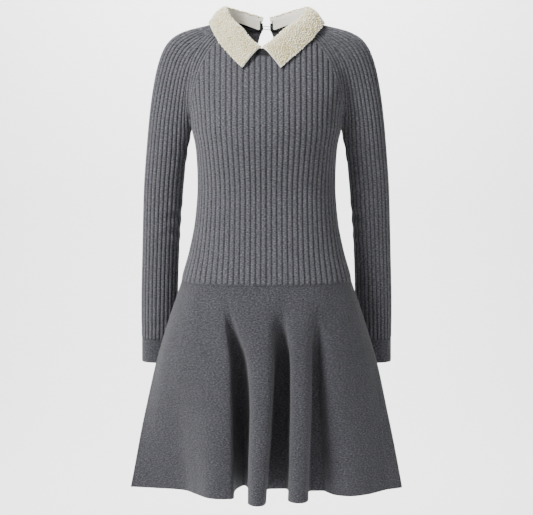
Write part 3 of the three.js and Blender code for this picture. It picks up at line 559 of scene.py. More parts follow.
def sleeve_section(face):
    toward = FACING[face]

    def ends(level):
        top, seam = sleeve_top(level), sleeve_seam(face, level)
        chord = seam - top
        opened = np.where(level < 0, 0, ease(0, ARMPIT_OPENS_OVER, level))
        unrolled = np.clip(np.abs(seam[..., 1]) / ARMPIT_UNROLLS_AT, 0, 1) ** 0.8 * (level > 0)
        z = mix(ARMPIT_Z, RAGLAN_TOP[face], np.maximum(level, 0))
        length = seam_length(face, z)
        here = body_point(face, length, z)
        inside = body_point(face, length - 2, z)
        below = body_point(face, seam_length(face, z - 2), z - 2)
        flat_angle = np.arctan2(np.abs(inside[..., 1] - here[..., 1]), here[..., 0] - inside[..., 0])
        slope = points(-(here - below)[..., 0] / 2, (here - below)[..., 1] / 2, 1)
        angle = toward * ((unrolled - 1) * np.pi / 2 + flat_angle * opened)
        across = np.hypot(chord[..., 0], chord[..., 1])
        arrival = points(np.cos(angle) * across, np.sin(angle) * across, 0)
        arrival = unit(arrival + slope * (chord[..., 2] * 0.6 * opened)[..., None])
        leaving = points(0 * level, toward, 0)
        turning = np.arccos(np.clip(np.sum(arrival * leaving, axis=-1), -1, 1))
        fullness = mix(SLEEVE_DEPTH, 0.95, opened)
        reach = np.linalg.norm(chord, axis=-1) * fullness / np.cos(turning / 4) ** 2
        return top, leaving * reach[..., None], seam, arrival * reach[..., None]

    levels = np.concatenate([np.linspace(-1, -0.02, 90), np.linspace(0, 1, 161)])
    parts = [part.reshape(len(levels), 3) for part in ends(levels)]

    def point(u, level):
        top, leaving, seam, arrival = (
            np.stack([np.interp(level, levels, part[:, k]) for k in range(3)], axis=-1) for part in parts)
        u = u[..., None]
        return (top * (1 + 2 * u) * (1 - u) ** 2 + seam * u * u * (3 - 2 * u)
                + leaving * u * (1 - u) ** 2 + arrival * u * u * (u - 1))

    return Sections(point, levels)


class EvenedSections:
    """Sleeve sections kept as a grid of points and evened out near the armpit, where the tube opens."""

    samples = 150

    def __init__(self, sections, levels, heights):
        shares = np.linspace(0, 1, self.samples + 1)
        grid = sections.at(shares[None, :], levels[:, None])
        near = np.exp(-((heights - ARMPIT_Z) / 65) ** 2)[1:-1, None, None]
        free = (1 - shares ** 6)[None, :, None]
        for _ in range(900):
            grid[1:-1] += 0.25 * near * free * (grid[:-2] + grid[2:] - 2 * grid[1:-1])
        self.levels = levels
        self.grid = grid
        self.whole = np.sum(np.linalg.norm(np.diff(grid, axis=1), axis=2), axis=1)

    def total(self, level):
        return np.interp(level, self.levels, self.whole)

    def at(self, fraction, level):
        fraction, level = np.broadcast_arrays(fraction, level)
        row = np.interp(level, self.levels, np.arange(len(self.levels)))
        column = np.clip(fraction, 0, 1) * self.samples
        r = np.clip(row.astype(int), 0, len(self.levels) - 2)
        c = np.clip(column.astype(int), 0, self.samples - 1)
        over, up = (column - c)[..., None], (row - r)[..., None]
        low = mix(self.grid[r, c], self.grid[r, c + 1], over)
        high = mix(self.grid[r + 1, c], self.grid[r + 1, c + 1], over)
        return mix(low, high, up)


def evened_arm(face, step=2):
    below = np.arange(CUFF_END_Z, ARMPIT_Z, step)
    above = np.append(np.arange(ARMPIT_Z, RAGLAN_TOP[face], step), RAGLAN_TOP[face])
    low_levels = (below - ARMPIT_Z) / (ARMPIT_Z - CUFF_END_Z)
    cap_levels = (above - ARMPIT_Z) / (RAGLAN_TOP[face] - ARMPIT_Z)
    levels, heights = np.append(low_levels, cap_levels), np.append(below, above)
    return EvenedSections(sleeve_section(face), levels, heights)


arm = {face: evened_arm(face) for face in FACING}


def sleeve_normal(face, fraction, level):
    """Outward direction; the front and back halves share it where they meet."""
    def one(side):
        around = arm[side].at(np.minimum(fraction + 0.01, 1), level) - arm[side].at(
            np.maximum(fraction - 0.01, 0), level)
        up = arm[side].at(fraction, np.minimum(level + 0.004, 1)) - arm[side].at(
            fraction, np.maximum(level - 0.004, -1))
        return unit(np.cross(-FACING[side] * around, up))

    own = one(face)
    other = one("back" if face == "front" else "front")
    meets = (fraction == 0) | ((fraction > 0.9999) & (level <= 0))
    return np.where(meets[..., None], unit(own + other), own)


def sleeve_rib_ends(face, ribs):
    levels = np.linspace(0, 1, 200)
    seam = sleeve_seam(face, levels)
    walked = np.append(0, np.cumsum(np.linalg.norm(np.diff(seam, axis=0), axis=1)))
    share = np.clip((RIBS_HALF_SLEEVE - ribs) / (RIBS_HALF_SLEEVE - SLEEVE_RIBS_AT_NECK), 0, 1)
    seam_level = np.interp(share * walked[-1] * 0.97, walked, levels)
    neck_share = ribs / SLEEVE_RIBS_AT_NECK
    at_neck = ribs <= SLEEVE_RIBS_AT_NECK
    level = np.where(at_neck, 0.94, seam_level)
    inner = arm[face].total(level) - band_width(level)
    start = np.where(at_neck, neck_share * inner, inner)
    edge_level = np.where(at_neck, 1, seam_level)
    edge_length = np.where(at_neck, neck_share, 1) * arm[face].total(edge_level)
    return level, start, edge_level, edge_length, at_neck


def sleeve_half(face, ribs, low_steps, cap_steps):
    level, start, edge_level, edge_length, at_neck = sleeve_rib_ends(face, ribs)
    cuff_level = (CUFF_TOP_Z + SEAM_GAP - ARMPIT_Z) / (ARMPIT_Z - CUFF_END_Z)
    low = np.linspace(cuff_level, 0, low_steps)[:, None] + 0 * ribs[None, :]
    low_fraction = ribs[None, :] / RIBS_HALF_SLEEVE + 0 * low
    cap = np.linspace(0, 1, cap_steps)[1:, None]
    cap_levels = cap * level[None, :]
    at_band = start / arm[face].total(level)
    at_edge = edge_length / arm[face].total(edge_level)
    cap_fraction = mix(ribs[None, :] / RIBS_HALF_SLEEVE, at_band[None, :], cap)
    band = rib_places(RAGLAN_BAND_RIBS)[1:, None] / RAGLAN_BAND_RIBS
    band_levels = mix(level[None, :], edge_level[None, :], band)
    band_fraction = mix(at_band[None, :], at_edge[None, :], band)
    levels = np.concatenate([low, cap_levels, band_levels])
    upper = np.concatenate([cap_fraction, band_fraction])
    most = 1 - RAGLAN_GAP / 2 / arm[face].total(levels[low_steps:])
    upper = np.where(levels[low_steps:] > 0.001, np.minimum(upper, most), upper)
    fractions = np.concatenate([low_fraction, upper])
    base = arm[face].at(fractions, levels)
    normal = sleeve_normal(face, fractions, levels)

    relief = np.broadcast_to(rib_profile(ribs)[None, :], levels.shape).copy()
    relief *= 1 - 0.5 * ease(RIBS_HALF_SLEEVE - 0.6, RIBS_HALF_SLEEVE - 0.4, ribs)[None, :]
    rows = low_steps + cap_steps - 1
    along = rib_profile(band * RAGLAN_BAND_RIBS)
    opened = ease(0.03, 0.2, level)[None, :]
    relief[rows:] = np.where(at_neck[None, :], relief[rows:], mix(relief[rows:] * (1 - band), along, opened))
    relief *= mix(0.25, 1, ease(0, 5, base[..., 2] - CUFF_TOP_Z))
    drift = cloth_drift(base) + sleeve_creases(face, fractions, base)
    outer = base + normal * (RIB_RELIEF * relief + drift)[..., None]
    inner = base - normal * (KNIT_WALL - drift)[..., None]
    lengths = fractions * arm[face].total(levels)
    flat = points(lengths * -FACING[face], base[..., 2], 0)[..., :2] * MM
    # The relief also goes out as the rib value, painted shade in the rib grooves
    return Grid(outer, inner, flat, relief)


# Soft creases across a sleeve: height of the middle, slant, half height, depth and place round
CREASES = """
z     slant  half  depth  round
-338  0.35   9     1.5    0.75
-366  0.3    8     1.3    0.8
-395  0.2    8     1.1    0.7
-208  -0.6   9     1.4    0.85
-236  -0.5   8     1.0    0.8
-540  0.15   7     0.9    0.5
"""


def sleeve_creases(face, fraction, base):
    """Creases inside the elbow and under the arm, fading away from the inner side."""
    lines = [line.split() for line in CREASES.split("\n")[2:-1]]
    depth = np.zeros(fraction.shape)
    for line in lines:
        z, slant, half, deep, centre = (float(cell) for cell in line)
        across = (fraction - centre) * 100
        from_line = base[..., 2] - z - slant * across
        window = np.exp(-(across / 38) ** 2)
        depth += window * deep * (np.exp(-(from_line / half) ** 2)
                                  - 0.9 * np.exp(-((from_line - 1.7 * half) / half) ** 2))
    return -depth * mix({"front": 1, "back": 0.6}[face], 0.8, ease(0.85, 1, fraction))


def sleeve_grids(cap_steps=40):
    ribs = rib_places(RIBS_HALF_SLEEVE)
    front = sleeve_half("front", ribs, SLEEVE_TUBE_ROWS, cap_steps)
    back = sleeve_half("back", ribs, SLEEVE_TUBE_ROWS, cap_steps)
    return back.reversed().joined(front)


class FoldLines:
    """The fold lines as curves of one place that runs round the hem, in even steps of its length."""

    def __init__(self):
        lines = FOLD_LINES.split("\n")[2:-1]
        rows = np.array([[float(cell) for cell in line.split()] for line in lines])
        hem_steps = np.hypot(np.diff(rows[:, 5]), np.diff(rows[:, 6]))
        places = np.append(0, np.cumsum(hem_steps))
        fullness = np.where(rows[:, 0] > 366, BACK_WAVE_FULLNESS, 1)
        self.columns = [smooth_curve(places, column, fullness) for column in rows.T]
        self.side_left = places[int(np.flatnonzero(rows[:, 0] == 360)[0])]
        self.whole = places[-1]

    def at(self, place, share):
        """Points of the skirt in millimetres, for a place along the hem and a share of the way down."""
        turn, x1, y1, x2, y2, x3, y3 = (column(place) for column in self.columns)
        cosine, sine = np.cos(np.radians(turn)), np.sin(np.radians(turn))
        power = 2 / torso["power"](WAIST_SEAM_Z)
        depth = np.where(sine < 0, skirt["front"](WAIST_SEAM_Z), skirt["back"](WAIST_SEAM_Z))
        x0 = np.sign(cosine) * skirt["width"](WAIST_SEAM_Z) * np.abs(cosine) ** power
        y0 = np.sign(sine) * depth * np.abs(sine) ** power
        heights = mix(WAIST_SEAM_Z - SEAM_GAP, HEM_Z, np.array(FOLD_LEVELS))
        widths = skirt["width"](heights)
        spread = [x / width for x, width in zip((x0, x1, x2, x3), widths)]
        x = self.down(spread, share) * skirt["width"](mix(WAIST_SEAM_Z, HEM_Z, share))
        y = self.down((y0, y1, y2, y3), share)
        return points(x, y, mix(WAIST_SEAM_Z - SEAM_GAP, HEM_Z, share))

    def down(self, values, share):
        """One smooth curve down the skirt through the values at the four levels."""
        levels = np.array(FOLD_LEVELS)
        slopes = [(values[1] - values[0]) / levels[1] * 0.6]
        for i in (1, 2):
            slopes.append((values[i + 1] - values[i - 1]) / (levels[i + 1] - levels[i - 1]))
        slopes.append((values[3] - values[2]) / (levels[3] - levels[2]) * 0.9)
        result = 0
        for i in range(3):
            span = levels[i + 1] - levels[i]
            u = (share - levels[i]) / span
            inside = (share >= levels[i]) & ((share < levels[i + 1]) | (i == 2))
            value = values[i] * (1 + 2 * u) * (1 - u) ** 2 + values[i + 1] * u * u * (3 - 2 * u)
            value = value + span * (slopes[i] * u * (1 - u) ** 2 + slopes[i + 1] * u * u * (u - 1))
            result = result + np.where(inside, value, 0)
        return result


fold_lines = FoldLines()


def skirt_grid(first, last, columns=301, rows=90):
    """One half of the skirt between two places along the hem."""
    place = np.linspace(first + SIDE_SEAM_GAP / 2, last - SIDE_SEAM_GAP / 2, columns)[None, :]
    share = np.linspace(0, 1, rows)[:, None] ** 1.15
    place, share = np.broadcast_arrays(place, share)
    base = fold_lines.at(place, share)
    around = fold_lines.at(place + 0.5, share) - fold_lines.at(place - 0.5, share)
    up = fold_lines.at(place, np.maximum(share - 0.004, 0)) - fold_lines.at(place, np.minimum(share + 0.004, 1))
    normal = unit(np.cross(around, up))
    drift = cloth_drift(base) * ease(0, 0.1, share)
    outer = base + normal * drift[..., None]
    inner = base - normal * (KNIT_WALL - drift)[..., None]
    walked = np.cumsum(np.linalg.norm(np.diff(base, axis=1, prepend=base[:, :1]), axis=2), axis=1)
    flat = points(walked - walked[:, columns // 2][:, None], base[..., 2], 0)[..., :2] * MM
    # Painted shade: a thin dark line along the waist seam, stored as the rib value
    seam_painted_shade = 1 - 0.55 * np.exp(-((base[..., 2] - WAIST_SEAM_Z) / 1.1) ** 2)
    return Grid(outer[::-1], inner[::-1], flat[::-1], seam_painted_shade[::-1])


def wall_object(name, panels, material, node, closed_rows=0, slit_row=None, inner_step=1):
    """A closed knit wall from grids of outer and inner points; rows run up, columns run to +u.
    A tube's sides meet over its closed_rows; two panels meet below slit_row. The plain inner
    side keeps every inner_step-th column only."""
    vertices, faces, flats, ribs = [], [], [], []
    for number, panel in enumerate(panels):
        rows, columns = panel.outer.shape[:2]
        inner = panel.inner[:, ::inner_step]
        start = sum(len(part) for part in vertices)
        vertices += [panel.outer.reshape(-1, 3), inner.reshape(-1, 3)]
        flats += [panel.flat.reshape(-1, 2), panel.flat[:, ::inner_step].reshape(-1, 2)]
        # The rib value, read by the materials as painted shade; the plain inner side gets none
        ribs += [panel.rib.ravel(), np.ones(inner[..., 0].size)]
        out = start + np.arange(rows * columns).reshape(rows, columns)
        back = start + rows * columns + np.arange(inner[..., 0].size).reshape(rows, -1)

        def quads(*corners):
            faces.extend(np.stack([corner.ravel() for corner in corners], axis=1).tolist())

        def steps(edge):
            """The edge's outer points, one row for each step of the inner side."""
            return [edge[k:len(edge) - inner_step + k:inner_step] for k in range(inner_step + 1)]

        quads(out[:-1, :-1], out[:-1, 1:], out[1:, 1:], out[1:, :-1])
        quads(back[:-1, 1:], back[:-1, :-1], back[1:, :-1], back[1:, 1:])
        quads(back[0, :-1], back[0, 1:], *steps(out[0])[::-1])
        quads(*steps(out[-1]), back[-1, 1:], back[-1, :-1])
        first = slit_row if slit_row is not None and number == 1 else closed_rows
        last = slit_row if slit_row is not None and number == 0 else closed_rows
        quads(back[first:-1, 0], out[first:-1, 0], out[first + 1:, 0], back[first + 1:, 0])
        quads(out[last:-1, -1], back[last:-1, -1], back[last + 1:, -1], out[last + 1:, -1])
    mesh = bpy.data.meshes.new(name)
    mesh.from_pydata((np.concatenate(vertices) * MM).tolist(), [], faces)
    layer = mesh.uv_layers.new(name="flat")
    corner_vertices = np.empty(len(mesh.loops), dtype=int)
    mesh.loops.foreach_get("vertex_index", corner_vertices)
    layer.data.foreach_set("uv", np.concatenate(flats)[corner_vertices].ravel())
    # The rib attribute carries the painted shade to the materials
    mesh.attributes.new("rib", "FLOAT", "POINT").data.foreach_set("value", np.concatenate(ribs))
    shell = bmesh.new()
    shell.from_mesh(mesh)
    bmesh.ops.remove_doubles(shell, verts=shell.verts, dist=2e-6)
    bmesh.ops.dissolve_degenerate(shell, dist=2e-6, edges=shell.edges)
    shell.to_mesh(mesh)
    shell.free()
    mesh.shade_smooth()
    mesh.set_sharp_from_angle(angle=math.radians(62))
    return add_piece(name, mesh, material, node)


def add_piece(name, mesh, material, node=None):
    mesh.materials.clear()
    mesh.materials.append(material)
    piece = bpy.data.objects.new(name, mesh)
    bpy.context.scene.collection.objects.link(piece)
    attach(piece, "root")
    if node:
        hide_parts(node)
    return piece


# Materials: small helpers for node trees
class Nodes:
    def __init__(self, name):
        self.material = bpy.data.materials.new(name)
        self.material.use_nodes = True
        self.tree = self.material.node_tree
        self.shader = self.tree.nodes["Principled BSDF"]

    def add(self, kind, **settings):
        node = self.tree.nodes.new(kind)
        inputs = settings.pop("inputs", {})
        for key, value in settings.items():
            setattr(node, key, value)
        for key, value in inputs.items():
            self.put(node.inputs[key], value)
        return node

    def put(self, socket, value):
        if isinstance(value, bpy.types.NodeSocket):
            self.tree.links.new(value, socket)
        else:
            socket.default_value = value

    def math(self, operation, first, second=0.0):
        node = self.add("ShaderNodeMath", operation=operation)
        self.put(node.inputs[0], first)
        self.put(node.inputs[1], second)
        return node.outputs[0]

    def blend(self, share, first, second):
        node = self.add("ShaderNodeMix", data_type="RGBA")
        self.put(node.inputs[0], share)
        self.put(node.inputs[6], first)
        self.put(node.inputs[7], second)
        return node.outputs[2]

    def noise(self, vector, scale, detail=2.0, roughness=0.5):
        node = self.add("ShaderNodeTexNoise", inputs={
            "Vector": vector, "Scale": scale, "Detail": detail, "Roughness": roughness})
        return node.outputs["Fac"]

    def spread(self, value, low, high):
        node = self.add("ShaderNodeMapRange", inputs={
            "Value": value, "From Min": low, "From Max": high})
        return node.outputs["Result"]


def knit_material(name, light, mid, dark, wale=1.5, course=1.15, depth=0.35):
    """Melange knit: V stitches in rows, with flecks of lighter and darker wool along the yarn, and painted shade
    where the rib attribute is low.
    """
    nodes = Nodes(name)
    flat = nodes.add("ShaderNodeUVMap", uv_map="flat").outputs["UV"]
    split = nodes.add("ShaderNodeSeparateXYZ", inputs={"Vector": flat})
    u = nodes.math("DIVIDE", split.outputs["X"], wale * MM)
    v = nodes.math("DIVIDE", split.outputs["Y"], course * MM)
    # Each stitch is a V: the course is shifted by how far the point is from the wale's middle
    from_middle = nodes.math("PINGPONG", u, 0.5)
    slanted = nodes.math("ADD", v, nodes.math("MULTIPLY", from_middle, 1.3))
    leg = nodes.math("ABSOLUTE", nodes.math("SINE", nodes.math("MULTIPLY", slanted, math.pi)))
    gap = nodes.math("ABSOLUTE", nodes.math("SINE", nodes.math("MULTIPLY", u, math.pi)))
    stitch = nodes.math("MULTIPLY", nodes.math("POWER", leg, 0.6), nodes.math("POWER", gap, 0.45))

    yarn = nodes.add("ShaderNodeMapping", inputs={"Vector": flat, "Scale": (260.0, 620.0, 1.0)})
    fleck = nodes.noise(yarn.outputs["Vector"], 1.0, 3.0, 0.7)
    cloud = nodes.noise(flat, 34.0, 3.0, 0.6)
    tuft = nodes.noise(flat, 300.0, 3.0, 0.7)
    colour = nodes.blend(nodes.spread(fleck, 0.38, 0.54), dark, mid)
    colour = nodes.blend(nodes.spread(fleck, 0.52, 0.66), colour, light)
    shade = nodes.math("ADD", nodes.math("MULTIPLY", nodes.spread(cloud, 0.3, 0.7), 0.14), 0.68)
    shade = nodes.math("ADD", shade, nodes.math("MULTIPLY", nodes.spread(tuft, 0.4, 0.6), 0.42))
    shade = nodes.math("MULTIPLY", shade, nodes.math("ADD", nodes.math("MULTIPLY", stitch, 0.42), 0.66))
    # Painted shade: the colour is darkened where the rib attribute is low, in the purl grooves between the ribs and
    # along the waist seam
    rib = nodes.add("ShaderNodeAttribute", attribute_name="rib").outputs["Fac"]
    shade = nodes.math("MULTIPLY", shade, nodes.math("ADD", nodes.math("MULTIPLY", nodes.spread(rib, 0.0, 0.9), 0.58), 0.4))
    toned = nodes.add("ShaderNodeVectorMath", operation="SCALE", inputs={0: colour, "Scale": shade})
    nodes.put(nodes.shader.inputs["Base Color"], toned.outputs["Vector"])
    fuzz = nodes.noise(flat, 1500.0, 2.0, 0.6)
    height = nodes.math("ADD", stitch, nodes.math("MULTIPLY", fuzz, 0.5))
    bump = nodes.add("ShaderNodeBump", inputs={"Height": height, "Strength": 0.7, "Distance": depth * MM})
    nodes.put(nodes.shader.inputs["Normal"], bump.outputs["Normal"])
    nodes.shader.inputs["Roughness"].default_value = 0.92
    nodes.shader.inputs["Specular IOR Level"].default_value = 0.2
    nodes.shader.inputs["Sheen Weight"].default_value = 0.12
    nodes.shader.inputs["Sheen Roughness"].default_value = 0.55
    return nodes.material


def cloth_material(name, colour, tint, net_with_painted_shade=None):
    """Plain woven ivory cloth with a soft sheen; where its rib value is 0, a darker net colour, partly the net's
    gold and partly painted shade between the pearls.
    """
    nodes = Nodes(name)
    place = nodes.add("ShaderNodeTexCoord").outputs["Object"]
    uneven = nodes.noise(place, 120.0, 3.0, 0.6)
    shown = nodes.blend(nodes.spread(uneven, 0.3, 0.7), colour, tint)
    if net_with_painted_shade:
        plain = nodes.add("ShaderNodeAttribute", attribute_name="rib").outputs["Fac"]
        shown = nodes.blend(plain, net_with_painted_shade, shown)
    nodes.put(nodes.shader.inputs["Base Color"], shown)
    weave = nodes.noise(place, 1600.0, 2.0, 0.5)
    bump = nodes.add("ShaderNodeBump", inputs={"Height": weave, "Strength": 0.4, "Distance": 0.15 * MM})
    nodes.put(nodes.shader.inputs["Normal"], bump.outputs["Normal"])
    nodes.shader.inputs["Roughness"].default_value = 0.6
    nodes.shader.inputs["Sheen Weight"].default_value = 0.2
    return nodes.material


def pearl_material():
    """Glass pearls: each bead has its own tint, stored on it as the attribute tint."""
    nodes = Nodes("pearl beads")
    tint = nodes.add("ShaderNodeAttribute", attribute_name="tint").outputs["Fac"]
    colour = nodes.blend(nodes.spread(tint, 0.0, 0.6), (0.99, 0.97, 0.85, 1), (0.96, 0.91, 0.64, 1))
    colour = nodes.blend(nodes.spread(tint, 0.7, 1.0), colour, (0.66, 0.56, 0.22, 1))
    nodes.put(nodes.shader.inputs["Base Color"], colour)
    nodes.shader.inputs["Roughness"].default_value = 0.22
    nodes.shader.inputs["Coat Weight"].default_value = 0.35
    nodes.shader.inputs["Coat Roughness"].default_value = 0.12
    nodes.shader.inputs["Specular IOR Level"].default_value = 0.6
    return nodes.material


def wire_material():
    nodes = Nodes("bent steel wire")
    place = nodes.add("ShaderNodeTexCoord").outputs["Object"]
    drawn = nodes.noise(place, 900.0, 2.0, 0.5)
    nodes.put(nodes.shader.inputs["Base Color"], nodes.blend(drawn, (0.05, 0.05, 0.055, 1), (0.12, 0.12, 0.125, 1)))
    nodes.put(nodes.shader.inputs["Roughness"], nodes.math("ADD", nodes.math("MULTIPLY", drawn, 0.2), 0.25))
    nodes.shader.inputs["Metallic"].default_value = 1.0
    return nodes.material


def stage_material(name, colour):
    nodes = Nodes(name)
    nodes.shader.inputs["Base Color"].default_value = colour
    nodes.shader.inputs["Roughness"].default_value = 1.0
    return nodes.material


def collar_frame(at):
    roll = points(collar["roll_x"](at), collar["roll_y"](at), collar["roll_z"](at))
    edge = points(collar["edge_x"](at), collar["edge_y"](at), collar["edge_z"](at))
    a, b = np.maximum(at - 0.02, 0), np.minimum(at + 0.02, 1)
    dx = collar["roll_x"](b) - collar["roll_x"](a)
    dy = collar["roll_y"](b) - collar["roll_y"](a)
    return roll, edge, unit(points(dy, -dx, 0 * at))


def leaf_surface(at, across):
    """Upper face of the falling leaf: across runs from the roll line (0) to the outer edge (1)."""
    roll, edge, out = collar_frame(at)
    reach = np.hypot((edge - roll)[..., 0], (edge - roll)[..., 1])
    crown = roll + out * (reach * 0.42)[..., None] + points(0 * at, 0, 1)
    u = across[..., None]
    return roll * (1 - u) ** 2 + crown * 2 * u * (1 - u) + edge * u * u


def place_side(p, at, side):
    shifted = p.copy()
    shifted[..., 0] = side * p[..., 0] + COLLAR_FRONT_SHIFT * (1 - ease(0, 0.5, at))
    return shifted


def collar_grid(side, stations=170):
    at = np.linspace(0, 1, stations)
    roll, _, out = collar_frame(at)
    inset = COLLAR_WALL + 0.6
    line = [roll - out * inset - points(0 * at, 0, collar["lift"](at) * share) for share in (1, 0.66, 0.33)]
    line.append(roll - out * (inset - 0.25) - points(0 * at, 0, 1.6))
    line.append(roll - out * (inset * 0.5) + points(0 * at, 0, -0.35))
    line += [leaf_surface(at, np.full_like(at, u)) for u in np.linspace(0, 1, 26)]
    grid = np.stack(line)
    run = np.gradient(grid, axis=0)
    along, rise = np.sum(run * out[None], axis=-1), run[..., 2]
    length = np.hypot(along, rise)
    under = grid + out[None] * (rise / length * COLLAR_WALL)[..., None]
    under = under + points(0 * length, 0, -along / length * COLLAR_WALL)
    upper, under = (place_side(p, at[None, :] + 0 * length, side) for p in (grid, under))
    flat = np.stack([np.broadcast_to(at * 190, length.shape), np.cumsum(length, axis=0)], axis=-1) * MM
    # The darker net colour, partly gold net and partly painted shade, shows between the pearls; the turned edge and
    # the inner side are plain cloth
    rows = np.arange(len(line))[:, None]
    beaded = (rows >= 4) & (rows <= len(line) - 2) & (at[None, :] > 0.004)
    leaf = Grid(upper, under, flat, np.where(beaded, 0.0, 1.0))
    return leaf.reversed() if side > 0 else leaf


def stand_grids(side, stations=80):
    at = np.linspace(0, STAND_END, stations)
    roll, _, out = collar_frame(at)
    inset = COLLAR_WALL + 0.6
    top = roll[:, 2] - collar["lift"](at) - SEAM_GAP
    foot = roll[:, 2] - collar["stand"](at)
    neck_side, leaf_side = [], []
    for share in np.linspace(0, 1, 8):
        z = mix(foot, top, share)
        face = roll - out * (inset - 1.2 * (1 - share))
        behind = face + out * 1.5
        neck_side.append(points(face[:, 0], face[:, 1], z))
        leaf_side.append(points(behind[:, 0], behind[:, 1], z))
    spread = at[None, :] + np.zeros((8, 1))
    neck_side, leaf_side = (place_side(np.stack(g), spread, side) for g in (neck_side, leaf_side))
    flat = neck_side[..., [0, 2]] * MM
    stand = Grid(neck_side, leaf_side, flat)
    return stand.reversed() if side < 0 else stand


def neckline_points():
    """The neckline of the wearer's left half, from the front middle to the back opening."""
    line = []
    corner = {face: raglan[face](RAGLAN_TOP[face]) for face in FACING}

    def on_panel(face, x):
        z = neckline_z(face, x)
        power = torso["power"](z)
        y = torso[face](z) * (1 - (x / torso["width"](z)) ** power) ** (1 / power)
        return points(x, FACING[face] * y, z)

    line.append(on_panel("front", corner["front"] * np.linspace(0, 1, 9)))
    top = np.array([0.75, 0.5, 0.25])
    flip = np.array([-1, 1, 1])
    line.append(arm["front"].at(top, np.ones(3)) * flip)
    line.append(arm["back"].at(np.array([0, 0.33, 0.67]), np.ones(3)) * flip)
    line.append(on_panel("back", mix(corner["back"], keyhole(0.0), np.linspace(0, 1, 7))))
    return np.concatenate(line)


def neckband_grids(stations=90):
    coarse = neckline_points()
    knots = np.arange(len(coarse), dtype=float)
    place = np.linspace(0, knots[-1], stations)
    line = np.stack([smooth_curve(knots, coarse[:, k])(place) for k in range(3)], axis=-1)
    run = np.gradient(line, axis=0)
    out = unit(points(run[:, 1], -run[:, 0], 0 * place))
    out[0] = (0, -1, 0)
    backward = np.linspace(0, 1, stations)
    rise, lean = neckband["rise"](backward), neckband["lean"](backward)
    grid = []
    for level in (-NECKBAND_FOOT_DROP, NECKBAND_LIFT):
        grid.append(line - out * NECKBAND_FOOT_IN + points(0 * place, 0, level))
    for share in np.linspace(0, 1, 6):
        up = points(0 * place, 0, NECKBAND_LIFT + rise * share)
        grid.append(line - out * (lean * share)[:, None] + up)
    outer = np.stack(grid)
    inner = outer - out[None] * KNIT_WALL
    inner[1:3, :, 2] += KNIT_WALL
    walked = np.append(0, np.cumsum(np.linalg.norm(np.diff(line, axis=0), axis=1)))
    flat = np.stack([np.broadcast_to(walked, outer.shape[:2]), outer[..., 2]], axis=-1) * MM
    left = Grid(outer, inner, flat)
    return left.mirrored().joined(left)


def cuff_grids():
    levels = np.linspace(-1, (CUFF_TOP_Z - SEAM_GAP - ARMPIT_Z) / (ARMPIT_Z - CUFF_END_Z), CUFF_ROWS)[:, None]
    halves = []
    for face in ("back", "front"):
        fraction = np.linspace(0, 1, 60)[None, :]
        fraction, level = np.broadcast_arrays(fraction, levels)
        base = arm[face].at(fraction, level)
        normal = sleeve_normal(face, fraction, level)
        roll = 0.5 * ease(0, 2.5, base[..., 2] - CUFF_END_Z) - 0.1
        outer = base + normal * (0.3 + roll)[..., None]
        inner = base - normal * (KNIT_WALL - 0.3)
        flat = points(fraction * arm[face].total(level) * -FACING[face], base[..., 2], 0)[..., :2] * MM
        halves.append(Grid(outer, inner, flat))
    back, front = halves
    return back.reversed().joined(front)


